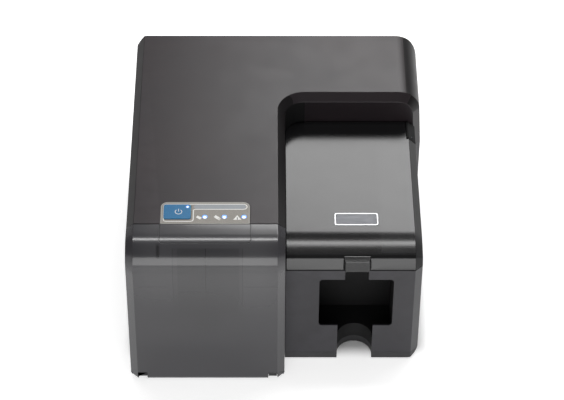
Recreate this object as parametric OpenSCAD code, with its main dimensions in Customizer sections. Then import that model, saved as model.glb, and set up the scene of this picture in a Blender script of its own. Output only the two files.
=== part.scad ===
// Desktop inkjet card printer: a tall left unit with a tinted card door, a lower right
// unit with a tinted ink lid and an output bin, and the card path inside.
// X runs to the right, Y to the rear, Z up. The origin is at the middle of the footprint.

/* [Body] */
// Width across the rear body at its seam
body_w = 361; // [355:1:385]
// Depth from the door face to the rear wall
body_d = 396; // [390:1:420]
// Height of the top cover above the table
body_h = 217.6; // [214:0.2:235]
// Height of the seam between the lower housing and the top cover
seam_z = 137; // [136:0.5:146]
// Wall thickness of the moulded covers
wall = 2.5; // [2:0.1:3]
// 45 degree bevel along the cover edges
edge_c = 9; // [6:0.5:10]
// Lean of the right side wall of the top cover in degrees
lean_right = 3.4; // [1:0.1:4]
// Lean of the left side wall of the top cover in degrees
lean_left = 1.2; // [0.5:0.1:2]
// Radius of the right shoulder of the top cover
shoulder_r = 27.5; // [22:0.5:32]
// Radius of the rear corners in plan
rear_r = 15; // [8:1:20]
// Height of the rubber feet under the base pan
foot_h = 2; // [1.5:0.5:4]
// Height of the base pan rim
pan_h = 10; // [9:0.5:12]

/* [Left unit] */
// Width of the left unit
unit_w = 187.4; // [185:0.2:190]
// Depth of the door from its face to the seam with the top cover
door_d = 51; // [48:0.5:56]
// Radius of the rounded top edge of the door
door_r = 34; // [26:1:40]
// Gap between the door and the parts beside it
door_gap = 0.5; // [0.4:0.1:1]
// Distance between the two door hinges
door_hinge_span = 158; // [150:1:160]
// Radius of the rounded lower edge of the door, around its hinge axis
door_bead_r = 7; // [6.5:0.1:7.5]
// Height of the door hinge axis above the feet
door_axis_h = 6.5; // [6.4:0.1:7]
// Diameter of the hinge pins
pin_d = 4; // [3:0.2:4.4]
// Radial clearance of pins and shafts in their bores
fit = 0.05; // [0.03:0.01:0.09]

/* [Right unit] */
// Set-back of the right unit's front behind the door face
front_set = 37; // [35:0.5:42]
// Height of the seam under the ink lid
lid_seam_z = 153.8; // [151:0.2:158]
// Height of the lid's flat top above that seam
lid_rise = 24.2; // [22:0.2:26]
// Depth of the curved front of the lid
lid_curve_d = 43; // [36:1:48]
// Height of the upright lip at the front of the lid
lid_lip = 2.2; // [1:0.2:4]
// Radius of the lid's crown where its flat top starts to fall
lid_crown_r = 77; // [70:1:85]
// Slope in degrees at which the crown meets the front corner
lid_crown_a = 20; // [16:0.5:22]
// Radius of the lid's upper front corner
lid_corner_r = 9; // [6:0.5:11]
// Lean of the lid's front face in degrees from upright
lid_face_lean = 26; // [24:0.5:28]
// Depth of the high rear body behind the lid
rear_d = 118.6; // [114:0.2:122]
// Inner plan radius of the recess corner behind the lid
recess_r = 25; // [20:1:28]
// Radius of the lower right corner of the right unit
low_corner_r = 13; // [8:1:16]
// Distance of the lid hinge axis in front of the high rear body
lid_axis_back = 27.4; // [27:0.2:32]
// Depth of the lid hinge axis below the lid top
lid_axis_low = 5.5; // [5:0.1:6]
// Width of the finger tab on the lid's lip
tab_w = 33; // [28:1:40]
// Width and depth of the bare badge plate on the lid
badge_size = [52, 20.6]; // [10:0.5:60]

/* [Output bin] */
// Distance from the left unit's side to the middle of the bin
bin_off = 84.9; // [84:0.1:86]
// Width of the bin opening
bin_w = 88.7; // [87.5:0.1:90]
// Height of the lower edge of the wide opening
bin_z0 = 59.7; // [56:0.1:64]
// Height of the upper edge of the wide opening
bin_z1 = 138.2; // [134:0.1:141]
// Width of the thumb slot above the opening
upper_slot_w = 28; // [24:0.5:34]
// Width of the thumb slot below the opening
lower_slot_w = 42.5; // [36:0.5:48]
// Corner radius of the opening
bin_corner_r = 4.5; // [3:0.5:6]
// Height of the bin floor
tray_z = 34; // [30:0.5:40]
// Radius of the half-round thumb notch in the bin floor
notch_r = 21.2; // [18:0.2:22]
// Depth of the notch centre behind the front
notch_in = 7; // [5:0.5:9]

/* [Cards] */
// Long side of a card
card_l = 85.6; // [85:0.1:86]
// Short side of a card
card_w = 54; // [53.5:0.1:54.5]
// Side clearance of a card in the hopper
card_play = 1.4; // [1:0.1:2]
// Height of the card path
path_z = 123.7; // [122:0.1:126]
// Distance from the left unit's left side to the middle of the hopper
hopper_off = 95; // [93:0.5:97]
// Depth of the upper edge of the hopper opening below the top of the cover
hopper_z1 = 31.6; // [28:0.2:36]
// Height of the lower edge of the wide hopper opening
hopper_z0 = 76; // [72:0.5:80]
// Travel of the lift plate
lift_travel = 72; // [60:1:74]
// Lead of the lift screw per turn
screw_lead = 8; // [4:1:12]

/* [Control panel] */
// Width of the control panel
panel_w = 105; // [100:1:115]
// Depth of the control panel
panel_d = 36; // [33:0.5:40]
// Distance from the left unit's left side to the left end of the panel
panel_off = 40.3; // [36:0.1:46]
// Width and depth of the power button
button_size = [32, 24]; // [8:0.5:34]
// Travel of the power button
button_travel = 1.2; // [0.8:0.1:1.5]
// Diameter of the indicator lenses
lens_d = 6.4; // [5:0.2:7.4]

/* [Mechanism] */
// Diameter of the drive shafts
shaft_d = 6; // [5:0.2:7]
// Diameter of the driven rollers
roller_d = 14; // [12:0.2:15]
// Diameter of the pinch rollers
pinch_d = 9; // [8:0.2:10]
// Thickness of the sheet metal frames
sheet = 1.6; // [1.2:0.1:2]
// Diameter of the guide rods
rod_d = 8; // [6:0.2:8.4]
// Distance of the roller line behind the card bays
nip_in = 27.9; // [26:0.1:30]
// Radius of the belt pulleys
pulley_r = 7; // [6:0.1:7.6]
// Width of the toothed belts
belt_w = 6; // [5:0.2:7]
// Thickness of the belts
belt_t = 1.4; // [1:0.1:1.6]
// Travel of the card shuttle
shuttle_travel = 177; // [160:1:178]
// Travel of the print carriage
carriage_travel = 100; // [90:1:101]
// Gear tooth size
gear_m = 1; // [0.8:0.1:1.2]

/* [Hidden] */
$fn = 48;
eps = 0.01;
far = 600;
half_w = body_w / 2;
// Screw heads and the inlet stand proud of the rear wall
rear_proud = 1.8;
front_y = -(body_d + rear_proud) / 2;
back_y = front_y + body_d;
door_seam_y = front_y + door_d;
unit_front_y = front_y + front_set;
rear_y = back_y - rear_d;
pan_top = foot_h + pan_h;
floor_z = foot_h + wall;
side_x = half_w - edge_c;
unit_left_x = -half_w + (body_h - edge_c - seam_z) * tan(lean_left);
unit_right_x = unit_left_x + unit_w;
lid_z = lid_seam_z + lid_rise;
bin_x = unit_right_x + bin_off;
hopper_x = unit_left_x + hopper_off;
shoulder_z = body_h - shoulder_r;
shoulder_x = half_w - (shoulder_r + (shoulder_z - seam_z) * sin(lean_right)) / cos(lean_right);

// Bin and hopper share their depth, so that cards lie on one line behind the fronts
bay_front_y = unit_front_y + wall;
bay_d = card_w + 2.5;
bay_back_y = bay_front_y + bay_d;
hopper_w = card_l + card_play;
frame_gap = 0.3;

// Chassis level and the card path above it
chassis_z = 8;
deck_z = chassis_z + sheet;
nip_y = bay_back_y + nip_in;
shaft_r = shaft_d / 2;
feed_z = path_z - roller_d / 2;
pinch_z = path_z + 0.8 + pinch_d / 2;
lane_half = 50;
lane_front_y = bay_back_y + wall + frame_gap;
lane_back_y = nip_y + roller_d / 2;
frame_top_z = pinch_z + 5.5;

// Shuttle
shuttle_front_y = nip_y + roller_d / 2 + 2;
shuttle_d = 46;
shuttle_back_y = shuttle_front_y + shuttle_d;
shuttle_rod_z = path_z - 14;
shuttle_rod_in = 10;
shuttle_belt_y = shuttle_front_y + shuttle_d / 2;
shuttle_belt_z = shuttle_rod_z - 34;
shuttle_end = 47;

// Gantry with the print carriage
gantry_x = unit_right_x + 24;
gantry_rod_dx = 12.6;
gantry_z = path_z + 24.3;
carriage_w = 36;
carriage_d = 44;
carriage_z0 = path_z + 12.5;
carriage_h = 22;
gantry_front_y = bay_back_y + wall + 1;
gantry_back_y = gantry_front_y + carriage_travel + carriage_d + 5;
carriage_home_y = gantry_back_y - carriage_d / 2 - 2;
carriage_belt_x = gantry_x + carriage_w / 2 + 6;

// Door and lid hinges
door_axis_y = front_y + door_bead_r;
door_axis_z = foot_h + door_axis_h;
door_mid_x = (unit_left_x + unit_right_x) / 2;
knuckle_w = 10;
door_boss_w = 8;
nose_gap = 2.5;
lid_axis_y = rear_y - lid_axis_back;
lid_axis_z = lid_z - lid_axis_low;
lid_gap = 0.9;
lid_left_x = unit_right_x + lid_gap;
cheek_x = side_x - edge_c - 2;

// Gear train from the feed motor to the pick roller
gear_w = 5;
gear_x = hopper_x - lane_half - sheet - gear_w / 2 - 1;
feed_teeth = 20;
pick_y = bay_back_y - 13;
pick_r = 9;
pick_z = path_z + 0.8 + pick_r;
pick_teeth = 20;
train_d = norm([pick_y - nip_y, pick_z - feed_z]);
train_a = atan2(pick_z - feed_z, pick_y - nip_y);
idler_teeth = floor((train_d / gear_m - (feed_teeth + pick_teeth) / 2) / 2);
idler_slack = (train_d - gear_m * ((feed_teeth + pick_teeth) / 2 + 2 * idler_teeth)) / 3;
idler_at = [
    for (d = [gear_m * (feed_teeth + idler_teeth) / 2 + idler_slack,
              train_d - gear_m * (pick_teeth + idler_teeth) / 2 - idler_slack])
        [nip_y + d * cos(train_a), feed_z + d * sin(train_a)]
];
pinion_teeth = 12;
pinion_z = feed_z - gear_m * (feed_teeth + pinion_teeth) / 2 - 0.2;

function bevel(i) = i * (sqrt(2) - 1);
function arc(y, z, ry, rz, a0, a1, n = 10) =
    [for (s = [0 : n]) let (a = a0 + (a1 - a0) * s / n) [y + ry * cos(a), z + rz * sin(a)]];
function right_wall_x(z, i) =
    shoulder_x + (shoulder_r - i - (z - shoulder_z) * sin(lean_right)) / cos(lean_right);

// Cross-section of the top cover in X and Z, moved inwards by i
function cover_section(i, z0) = concat(
    [[-half_w + i, z0], [unit_left_x + i, body_h - edge_c - bevel(i)],
     [unit_left_x + edge_c + bevel(i), body_h - i]],
    arc(shoulder_x, shoulder_z, shoulder_r - i, shoulder_r - i, 90, lean_right, 12),
    [[right_wall_x(z0, i), z0]]
);

// Extrudes a section drawn in X and Z along Y
module along_y(y0, y1) {
    translate([0, y1, 0]) rotate([90, 0, 0]) linear_extrude(y1 - y0) children();
}

// Extrudes a section drawn in Y and Z along X
module along_x(x0, x1) {
    translate([x0, 0, 0]) rotate([90, 0, 90]) linear_extrude(x1 - x0) children();
}

// Box between two corners
module block(p0, p1) {
    translate(p0) cube([p1[0] - p0[0], p1[1] - p0[1], p1[2] - p0[2]]);
}

module rod_x(x0, x1, y, z, r) {
    translate([x0, y, z]) rotate([0, 90, 0]) cylinder(h = x1 - x0, r = r);
}

module rod_y(y0, y1, x, z, r) {
    translate([x, y1, z]) rotate([90, 0, 0]) cylinder(h = y1 - y0, r = r);
}

module rod_z(z0, z1, x, y, r) {
    translate([x, y, z0]) cylinder(h = z1 - z0, r = r);
}

// Rectangle with round corners, centred, as a flat shape
module rounded_rect(w, d, r) {
    square([w - 2 * r, d], center = true);
    square([w, d - 2 * r], center = true);
    for (sx = [-1, 1], sy = [-1, 1])
        translate([sx * (w / 2 - r), sy * (d / 2 - r)]) circle(r);
}

// Cuts the two rear corners round, in plan
module rear_corner_cuts(i, z0, z1) {
    r = rear_r - i;
    for (s = [-1, 1]) {
        difference() {
            block([min(s * (half_w - rear_r), s * far), back_y - rear_r, z0],
                  [max(s * (half_w - rear_r), s * far), far, z1]);
            rod_z(z0 - 1, z1 + 1, s * (half_w - rear_r), back_y - rear_r, r);
        }
    }
}

// Outline of the whole footprint without the door, moved inwards by i
module footprint(i) {
    k = bevel(i);
    polygon([
        [-half_w + i, door_seam_y + i], [unit_right_x + i, door_seam_y + i],
        [unit_right_x + i, unit_front_y + i], [side_x - edge_c - k, unit_front_y + i],
        [side_x - i, unit_front_y + edge_c + k], [side_x - i, rear_y + k],
        [half_w - i, rear_y + edge_c + k], [half_w - i, back_y - i],
        [-half_w + i, back_y - i]
    ]);
}

// Rounds the lower right edge of the right unit
module low_corner_cut(i) {
    r = low_corner_r - i;
    x = side_x - low_corner_r;
    z = foot_h + low_corner_r;
    difference() {
        block([x, -far, -far], [far, rear_y + bevel(i), z]);
        rod_y(-far, far, x, z, r);
    }
}

// Thumb notch in the bin floor, open to the front
module notch_cut(z0, z1, play = 0) {
    r = notch_r + play;
    y = unit_front_y + notch_in;
    rod_z(z0, z1, bin_x, y, r);
    block([bin_x - r, unit_front_y - 1, z0], [bin_x + r, y, z1]);
}

// Plus-shaped opening of a card bay, drawn in X and Z and cut along Y
module bay_opening(x, w, z0, z1, low_w, low_z, high_w, high_z) {
    r = bin_corner_r;
    translate([x, (z0 + z1) / 2]) rounded_rect(w, z1 - z0, r);
    translate([x - low_w / 2, low_z]) square([low_w, z0 - low_z + 1]);
    translate([x - high_w / 2, z1 - 1]) square([high_w, high_z - z1 + 1]);
}

// Solid form of the top cover, moved inwards by i
module cover_form(i, z0) {
    k = bevel(i);
    difference() {
        along_y(door_seam_y - (i > 0 ? 1 : 0), back_y - i) polygon(cover_section(i, z0));
        rear_corner_cuts(i, z0 - 1, body_h + 1);
        recess_cut(i, z0 - 1);
        front_bevel_cut(i, k, z0 - 1);
    }
}

// Space in front of the high rear body, with its round corner and bevelled rim
module recess_cut(i, z0) {
    k = bevel(i);
    cx = unit_right_x + recess_r;
    cy = rear_y - recess_r;
    rim_z = body_h - edge_c - k;
    e = 3;
    block([cx, front_y, z0], [far, rear_y + i, far]);
    block([unit_right_x - i, front_y, z0], [cx + e, cy, far]);
    rod_z(z0, body_h + e, cx, cy, recess_r + i);
    translate([cx, cy, rim_z]) cylinder(
        h = edge_c + k - i + e, r1 = recess_r + i, r2 = recess_r + edge_c + k + e);
    along_y(front_y, cy) polygon([
        [unit_right_x - i + e, rim_z - e], [unit_right_x - edge_c - k - e, body_h - i + e],
        [unit_right_x - i + e, body_h - i + e]]);
}

// Bevel on the front edge of the high rear body, following the round shoulder
module front_bevel_cut(i, k, z0) {
    y0 = rear_y + i;
    y1 = rear_y + edge_c + k;
    difference() {
        block([unit_right_x + recess_r, y0 - 0.5, z0], [far, y1 + 0.5, far]);
        hull() {
            along_y(y0 - 1 - eps, y0 - 1) polygon(cover_section(edge_c + k + 1, z0 - 9));
            along_y(y1 + 1, y1 + 1 + eps) polygon(cover_section(i - 1, z0 - 9));
        }
    }
}

// Door and lid outlines in Y and Z, moved inwards by i
function door_section(i, low_i) = concat(
    [[door_seam_y - door_gap, body_h - i]],
    arc(front_y + door_r, body_h - door_r, door_r - i, door_r - i, 90, 180, 10),
    arc(door_axis_y, door_axis_z, door_bead_r - i, max(door_bead_r - low_i, 0.2), 180, 270, 6),
    [[door_seam_y - door_gap - 4, door_axis_z - max(door_bead_r - low_i, 0.2)],
     [door_seam_y - door_gap, door_axis_z - max(door_bead_r - low_i, 0.2) + 4]]
);

// The lid's crown, its front corner and its leaning front face, moved inwards by i
function lid_section(i) = let (
    y = unit_front_y + lid_curve_d,
    z0 = lid_seam_z + lid_gap,
    z1 = lid_seam_z + lid_lip,
    a = lid_crown_a,
    b = lid_face_lean,
    // Where the crown's end tangent meets the front face
    ya = y - lid_crown_r * sin(a),
    za = lid_z - lid_crown_r * (1 - cos(a)),
    t = (cos(a) * (za - z1) + sin(a) * (unit_front_y - ya)) / cos(a + b),
    yx = unit_front_y + t * sin(b),
    zx = z1 + t * cos(b),
    m = (a + 90 - b) / 2,
    r = max(lid_corner_r - i, 0.2),
    far_c = (i + r) / cos((90 - b - a) / 2)
) concat(
    [[rear_y - lid_gap, lid_z - i]],
    [for (n = [0 : 4]) let (c = 90 + a * n / 4)
        [y + (lid_crown_r - i) * cos(c), lid_z - lid_crown_r + (lid_crown_r - i) * sin(c)]],
    [for (n = [0 : 6]) let (c = 90 + a + (90 - b - a) * n / 6)
        [yx + far_c * sin(m) + r * cos(c), zx - far_c * cos(m) + r * sin(c)]],
    [[unit_front_y + i, max(z1 - i * tan(b / 2), z0 + eps)], [unit_front_y + i, z0], [rear_y - lid_gap, z0]]
);

module door_form(i) {
    k = bevel(i);
    x0 = unit_left_x;
    x1 = unit_right_x - door_gap;
    hull() {
        along_x(x0 + edge_c + k, x1 - edge_c - k) polygon(door_section(i, i));
        along_x(x0 + i, x0 + i + eps) polygon(door_section(min(edge_c + k, door_bead_r - 0.2), edge_c + k));
        along_x(x1 - i - eps, x1 - i) polygon(door_section(min(edge_c + k, door_bead_r - 0.2), edge_c + k));
    }
}

module lid_form(i) {
    k = bevel(i);
    hull() {
        along_x(lid_left_x + i, side_x - edge_c - k) polygon(lid_section(i));
        along_x(side_x - i - eps, side_x - i) polygon(lid_section(edge_c + k));
    }
}

// Direction of a tooth of the second gear of a meshed pair, in degrees from +Y towards +Z.
// a is the direction of a tooth of the first gear, and phi leads from its centre to the second.
function mesh_turn(a, teeth_a, teeth_b, phi) = phi + 180 - (a - phi) * teeth_a / teeth_b + 180 / teeth_b;

// Gear with straight teeth on the X axis, with one tooth pointing in the direction turn
module gear_x(x, y, z, teeth, bore, turn) {
    r_out = gear_m * (teeth / 2 + 0.8);
    r_in = gear_m * (teeth / 2 - 1.1);
    t = gear_m * 0.7;
    translate([x - gear_w / 2, y, z]) rotate([0, 90, 0]) rotate(turn + 90) difference() {
        linear_extrude(gear_w) {
            circle(r_in);
            for (n = [0 : teeth - 1])
                rotate(360 / teeth * n) polygon([
                    [r_in - 0.3, -t], [r_out, -t * 0.45], [r_out, t * 0.45], [r_in - 0.3, t]]);
        }
        translate([0, 0, -1]) cylinder(h = gear_w + 2, r = bore);
    }
}

// Flanged belt pulley, drawn along Z
module pulley(bore) {
    difference() {
        union() {
            cylinder(h = belt_w + 1, r = pulley_r - 0.1);
            for (z = [-1, belt_w + 1]) translate([0, 0, z]) cylinder(h = 1, r = pulley_r + belt_t + 1);
        }
        translate([0, 0, -2]) cylinder(h = belt_w + 6, r = bore);
    }
}

// Belt loop round two pulleys on parallel axes, drawn flat
module belt_loop(span) {
    linear_extrude(belt_w) difference() {
        belt_outline(span, pulley_r + belt_t);
        belt_outline(span, pulley_r);
    }
}

module belt_outline(span, r) {
    circle(r);
    translate([span, 0]) circle(r);
    translate([0, -r]) square([span, 2 * r]);
}

// Motor with a round can, drawn along Z with its shaft upwards
module motor(r, h, shaft, shaft_h) {
    cylinder(h = h, r = r);
    translate([0, 0, h]) cylinder(h = shaft_h, r = shaft);
}

// Places where the base pan carries the chassis plate
chassis_front_y = lane_front_y + 1;
chassis_back_y = back_y - wall - 8;
boss_places = [
    for (x = [-half_w + 22, -12, side_x - 18]) for (y = [chassis_front_y + 8, chassis_back_y - 14])
        [x, y]
];
foot_places = [
    [unit_left_x + 22, unit_front_y + 8], [unit_right_x - 24, unit_front_y + 8],
    [side_x - 26, unit_front_y + 20], [-half_w + 26, back_y - 50], [half_w - 44, back_y - 50],
    [0, back_y - 50]
];
foot_r = 8;
foot_pin_r = 3;
screw_r = 1.5;

module rubber_feet() {
    color([0.08, 0.08, 0.09]) for (p = foot_places) {
        rod_z(0, foot_h, p[0], p[1], foot_r);
        rod_z(foot_h - eps, floor_z, p[0], p[1], foot_pin_r);
    }
}

// Left and right limits of the nose that stands inside the door
nose_x0 = unit_left_x + wall + nose_gap;
nose_x1 = unit_right_x - door_gap - wall - nose_gap;
knuckle_places = [door_mid_x - door_hinge_span / 2, door_mid_x + door_hinge_span / 2];
nose_front_y = door_axis_y + door_bead_r + 1;

module base_pan() {
    color([0.16, 0.16, 0.17]) {
        difference() {
            union() {
                difference() {
                    translate([0, 0, foot_h]) linear_extrude(pan_h) footprint(0);
                    difference() {
                        translate([0, 0, floor_z]) linear_extrude(pan_h) footprint(wall);
                        rear_corner_cuts(wall, 0, pan_top + 2);
                        low_corner_cut(wall);
                    }
                }
                block([nose_x0, nose_front_y, foot_h], [nose_x1, door_seam_y + wall, floor_z]);
                block([nose_x0, nose_front_y, foot_h], [nose_x1, nose_front_y + wall, pan_top]);
                block([bin_x - notch_r - wall, unit_front_y, foot_h],
                      [bin_x + notch_r + wall, unit_front_y + notch_in + notch_r + wall, pan_top]);
                for (p = boss_places) rod_z(foot_h, chassis_z, p[0], p[1], 5);
                for (x = knuckle_places) {
                    rod_x(x - knuckle_w / 2, x + knuckle_w / 2, door_axis_y, door_axis_z, 4.5);
                    block([x - knuckle_w / 2, door_axis_y, door_axis_z - 4.5],
                          [x + knuckle_w / 2, nose_front_y + 1, door_axis_z + 3]);
                }
            }
            // Opening for the bulkhead and the hopper behind the door
            block([nose_x0 - 0.1, unit_front_y - 0.1, floor_z],
                  [nose_x1 + 0.1, door_seam_y + wall + 1, pan_top + 1]);
            notch_cut(foot_h - 1, pan_top + 1);
            rear_corner_cuts(0, 0, pan_top + 1);
            low_corner_cut(0);
            for (p = foot_places) rod_z(0, floor_z + 1, p[0], p[1], foot_pin_r + fit);
            for (p = boss_places) rod_z(floor_z, chassis_z + 1, p[0], p[1], screw_r);
            for (x = knuckle_places) rod_x(x - 6, x + 6, door_axis_y, door_axis_z, pin_d / 2 + fit);
        }
    }
}

// Cuts in the rear wall for the fan, the inlet, the switch and the ports
rocker_w = 9;
rocker_y = back_y - 3;
fan_w = 40;
fan_x = -120;
fan_z = 92;
inlet_x = -120;
inlet_z = 38;
inlet_w = 27.5;
inlet_h = 20;
switch_x = inlet_x + 32;
switch_w = 13;
switch_h = 20;
port_z = 30;
usb_x = 40;
usb_w = 12;
usb_h = 11;
net_x = 70;
net_w = 16;
net_h = 13.5;
port_lap = 4;
port_plate_x0 = usb_x - usb_w / 2 - 10;
port_plate_x1 = net_x + net_w / 2 + 10;
port_plate_z1 = port_z + net_h + 9;
vent_n = 9;
vent_w = 3;
vent_h = 34;
vent_step = 7;
vent_x = 60;
tab_places = [-130, -50, 50, 130];

module rear_wall_cuts() {
    y0 = back_y - wall - 1;
    y1 = back_y + 1;
    play = 0.2;
    for (n = [-3 : 3]) {
        h = sqrt(pow(fan_w / 2 - 2, 2) - pow(n * 5, 2));
        block([fan_x + n * 5 - 1.5, y0, fan_z - h], [fan_x + n * 5 + 1.5, y1, fan_z + h]);
    }
    block([inlet_x - inlet_w / 2 - play, y0, inlet_z - inlet_h / 2 - play],
          [inlet_x + inlet_w / 2 + play, y1, inlet_z + inlet_h / 2 + play]);
    block([switch_x - switch_w / 2 - play, y0, inlet_z - switch_h / 2 - play],
          [switch_x + switch_w / 2 + play, y1, inlet_z + switch_h / 2 + play]);
    // Notch over the port plate, open at the lower rim
    block([port_plate_x0 + port_lap, y0, 0], [port_plate_x1 - port_lap, y1, port_plate_z1 - port_lap]);
    for (n = [0 : vent_n - 1])
        block([vent_x + n * vent_step, y0, 76], [vent_x + n * vent_step + vent_w, y1, 76 + vent_h]);
    for (x = tab_places) rod_y(y0, y1, x, seam_z - 8, screw_r + 0.3);
}

module lower_housing() {
    color([0.24, 0.24, 0.25]) difference() {
        translate([0, 0, pan_top]) linear_extrude(seam_z - pan_top) footprint(0);
        difference() {
            translate([0, 0, pan_top - 1]) linear_extrude(seam_z) footprint(wall);
            rear_corner_cuts(wall, 0, seam_z + 2);
        }
        rear_corner_cuts(0, pan_top - 1, seam_z + 1);
        block([unit_right_x - wall, -far, 0], [side_x + eps, rear_y + bevel(wall), far]);
        block([-half_w + wall + 1, -far, 0], [unit_right_x + 1, door_seam_y + wall + 1, far]);
        rear_wall_cuts();
    }
}

lid_ledge_h = 4;

module front_right_housing() {
    z1 = lid_seam_z;
    color([0.27, 0.27, 0.28]) difference() {
        union() {
            difference() {
                translate([0, 0, pan_top]) linear_extrude(z1 - pan_top) footprint(0);
                difference() {
                    translate([0, 0, pan_top - 1]) linear_extrude(z1) footprint(wall);
                    low_corner_cut(wall);
                }
            }
            lid_cheek();
            lid_ledge();
        }
        block([-far, -far, 0], [unit_right_x, far, far]);
        block([-far, door_seam_y + 4, 0], [unit_right_x + wall, far, far]);
        block([-far, rear_y - 0.5, 0], [far, far, far]);
        low_corner_cut(0);
        along_y(unit_front_y - 1, unit_front_y + wall + 1)
            bay_opening(bin_x, bin_w, bin_z0, bin_z1, lower_slot_w, pan_top - 1, upper_slot_w, z1 + 1);
        rod_x(cheek_x - 1, cheek_x + 7, lid_axis_y, lid_axis_z, pin_d / 2 + fit);
    }
}

// Ledge under the lid that joins both sides of the front behind the thumb slot
module lid_ledge() {
    z0 = lid_seam_z - lid_ledge_h;
    y1 = bay_front_y + 36;
    block([unit_right_x + wall - 1, bay_front_y - 1, z0], [unit_right_x + wall + 5, y1, lid_seam_z]);
    block([unit_right_x + wall - 1, y1 - 6, z0], [side_x - wall + 1, y1, lid_seam_z]);
}

// Fixed cheek at the right end of the lid's hinge, shaped like the lid
module lid_cheek() {
    difference() {
        intersection() {
            lid_form(0);
            block([cheek_x, lid_axis_y - 6, lid_seam_z - 1], [far, far, far]);
        }
        // The front edge is round about the hinge axis, so that the lid swings past it
        difference() {
            block([0, lid_axis_y - 7, lid_axis_z], [far, lid_axis_y, far]);
            rod_x(0, far, lid_axis_y, lid_axis_z, 6.4);
        }
    }
    block([cheek_x, lid_axis_y - 6, lid_seam_z - 10], [side_x - 1, rear_y - 1, lid_seam_z + 2]);
}

module top_cover() {
    color([0.3, 0.29, 0.3]) difference() {
        union() {
            difference() {
                cover_form(0, seam_z);
                cover_form(wall, seam_z - 1);
            }
            for (x = tab_places) {
                y = back_y - wall - 0.2;
                block([x - 6, y - wall, seam_z - 15], [x + 6, y, seam_z + 10]);
                block([x - 6, y - wall, seam_z + 2], [x + 6, y + 0.7, seam_z + 10]);
            }
            rod_x(unit_right_x - wall - 5, unit_right_x - wall + 0.5, lid_axis_y, lid_axis_z, 5);
        }
        for (x = tab_places) rod_y(back_y - 3 * wall, back_y + 1, x, seam_z - 8, screw_r);
        rod_x(unit_right_x - 7, unit_right_x + 1, lid_axis_y, lid_axis_z, pin_d / 2 + fit);
        panel_pocket();
    }
}

// Control panel, set into the top cover just behind the door seam
panel_x = unit_left_x + panel_off + panel_w / 2;
panel_y = door_seam_y + panel_d / 2 + 0.3;
panel_t = 1.2;
panel_r = 8;
button_x = panel_x - panel_w / 2 + 3.5 + button_size[0] / 2;
button_y = panel_y + 1;
button_gap = 0.4;
lens_places = [for (n = [0 : 2]) [button_x + button_size[0] / 2 + 16.6 + n * 23, panel_y - 6.9]];
led_place = [button_x + 12, button_y + 8];
led_r = 2;
board_z = body_h - wall - 9;
button_skirt = 5;

// Plan of the panel: round corners behind, and square ones at the door seam
module panel_plan(grow, lead) {
    w = panel_w + grow;
    hull() {
        rounded_rect(w, panel_d + grow, panel_r);
        translate([-w / 2, -panel_d / 2 - lead]) square([w, panel_d / 2]);
    }
}

module panel_pocket() {
    translate([panel_x, panel_y, body_h - panel_t]) linear_extrude(panel_t + 1) panel_plan(0.2, 1.3);
    translate([button_x, button_y, body_h - 9])
        linear_extrude(10) rounded_rect(button_size[0] + 2, button_size[1] + 2, 3);
    for (p = lens_places) rod_z(body_h - 9, body_h, p[0], p[1], lens_d / 2 + 0.5);
}

module panel_bezel() {
    color([0.53, 0.52, 0.5]) difference() {
        translate([panel_x, panel_y, body_h - panel_t]) linear_extrude(panel_t + 0.4) panel_plan(0, 0.3);
        translate([button_x, button_y, body_h - 9]) linear_extrude(12)
            rounded_rect(button_size[0] + 2 * button_gap, button_size[1] + 2 * button_gap, 3);
        for (p = lens_places) rod_z(body_h - 9, body_h + 2, p[0], p[1], lens_d / 2 + fit);
    }
}

module power_button() {
    color([0.18, 0.46, 0.65]) difference() {
        union() {
            translate([button_x, button_y, body_h - 1]) linear_extrude(2.6)
                rounded_rect(button_size[0], button_size[1], 2.6);
            rod_z(board_z + 3.4, body_h - 0.9, button_x, button_y, 3.2);
        }
        rod_z(body_h, body_h + 2, led_place[0], led_place[1], led_r + 0.2);
    }
}

// Coil spring between the board's switch and the button's skirt
spring_r = 4.4;
spring_wire = 0.4;
spring_turns = 3.5;
spring_steps = 56;
spring_sides = 8;
spring_z0 = board_z + 2.2 + spring_wire;
spring_z1 = body_h - 1.1 - spring_wire;

function spring_ring(s) =
    let (a = 360 * spring_turns * s / spring_steps,
         z = spring_z0 + (spring_z1 - spring_z0) * s / spring_steps)
    [for (n = [0 : spring_sides - 1]) let (b = 360 * n / spring_sides, r = spring_r + spring_wire * cos(b))
        [button_x + r * cos(a), button_y + r * sin(a), z + spring_wire * sin(b)]];

module button_spring() {
    n = spring_sides;
    last = spring_steps * n;
    color([0.7, 0.7, 0.72]) polyhedron(
        points = [for (s = [0 : spring_steps]) each spring_ring(s)],
        faces = concat(
            [[for (j = [0 : n - 1]) j], [for (j = [n - 1 : -1 : 0]) last + j]],
            [for (s = [0 : spring_steps - 1]) for (j = [0 : n - 1])
                let (a = s * n + j, b = s * n + (j + 1) % n) [a, a + n, b + n, b]]));
}

module indicator_lenses() {
    color([0.75, 0.88, 0.96]) {
        for (p = lens_places) {
            rod_z(board_z + 1.6, body_h + 0.7, p[0], p[1], lens_d / 2);
            rod_z(body_h - panel_t - 1.4, body_h - panel_t - 0.1, p[0], p[1], lens_d / 2 + 0.4);
        }
    }
}

module control_board() {
    color([0.1, 0.36, 0.2]) difference() {
        union() {
            block([panel_x - panel_w / 2 + 4, panel_y - panel_d / 2 + 4, board_z],
                  [panel_x + panel_w / 2 - 4, panel_y + panel_d / 2 - 4, board_z + 1.6]);
            rod_z(board_z + 1.5, board_z + 2.1, button_x, button_y, 5.5);
            for (x = [lens_places[0][0] - 11.5, lens_places[1][0] + 11.5]) for (s = [-1, 1])
                rod_z(board_z + 1.5, body_h - wall, x, panel_y + s * (panel_d / 2 - 6), 1.6);
        }
        for (s = [-1, 1]) rod_z(board_z - 1, board_z + 2, panel_x, panel_y + s * 11, 1.1);
    }
}

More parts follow.
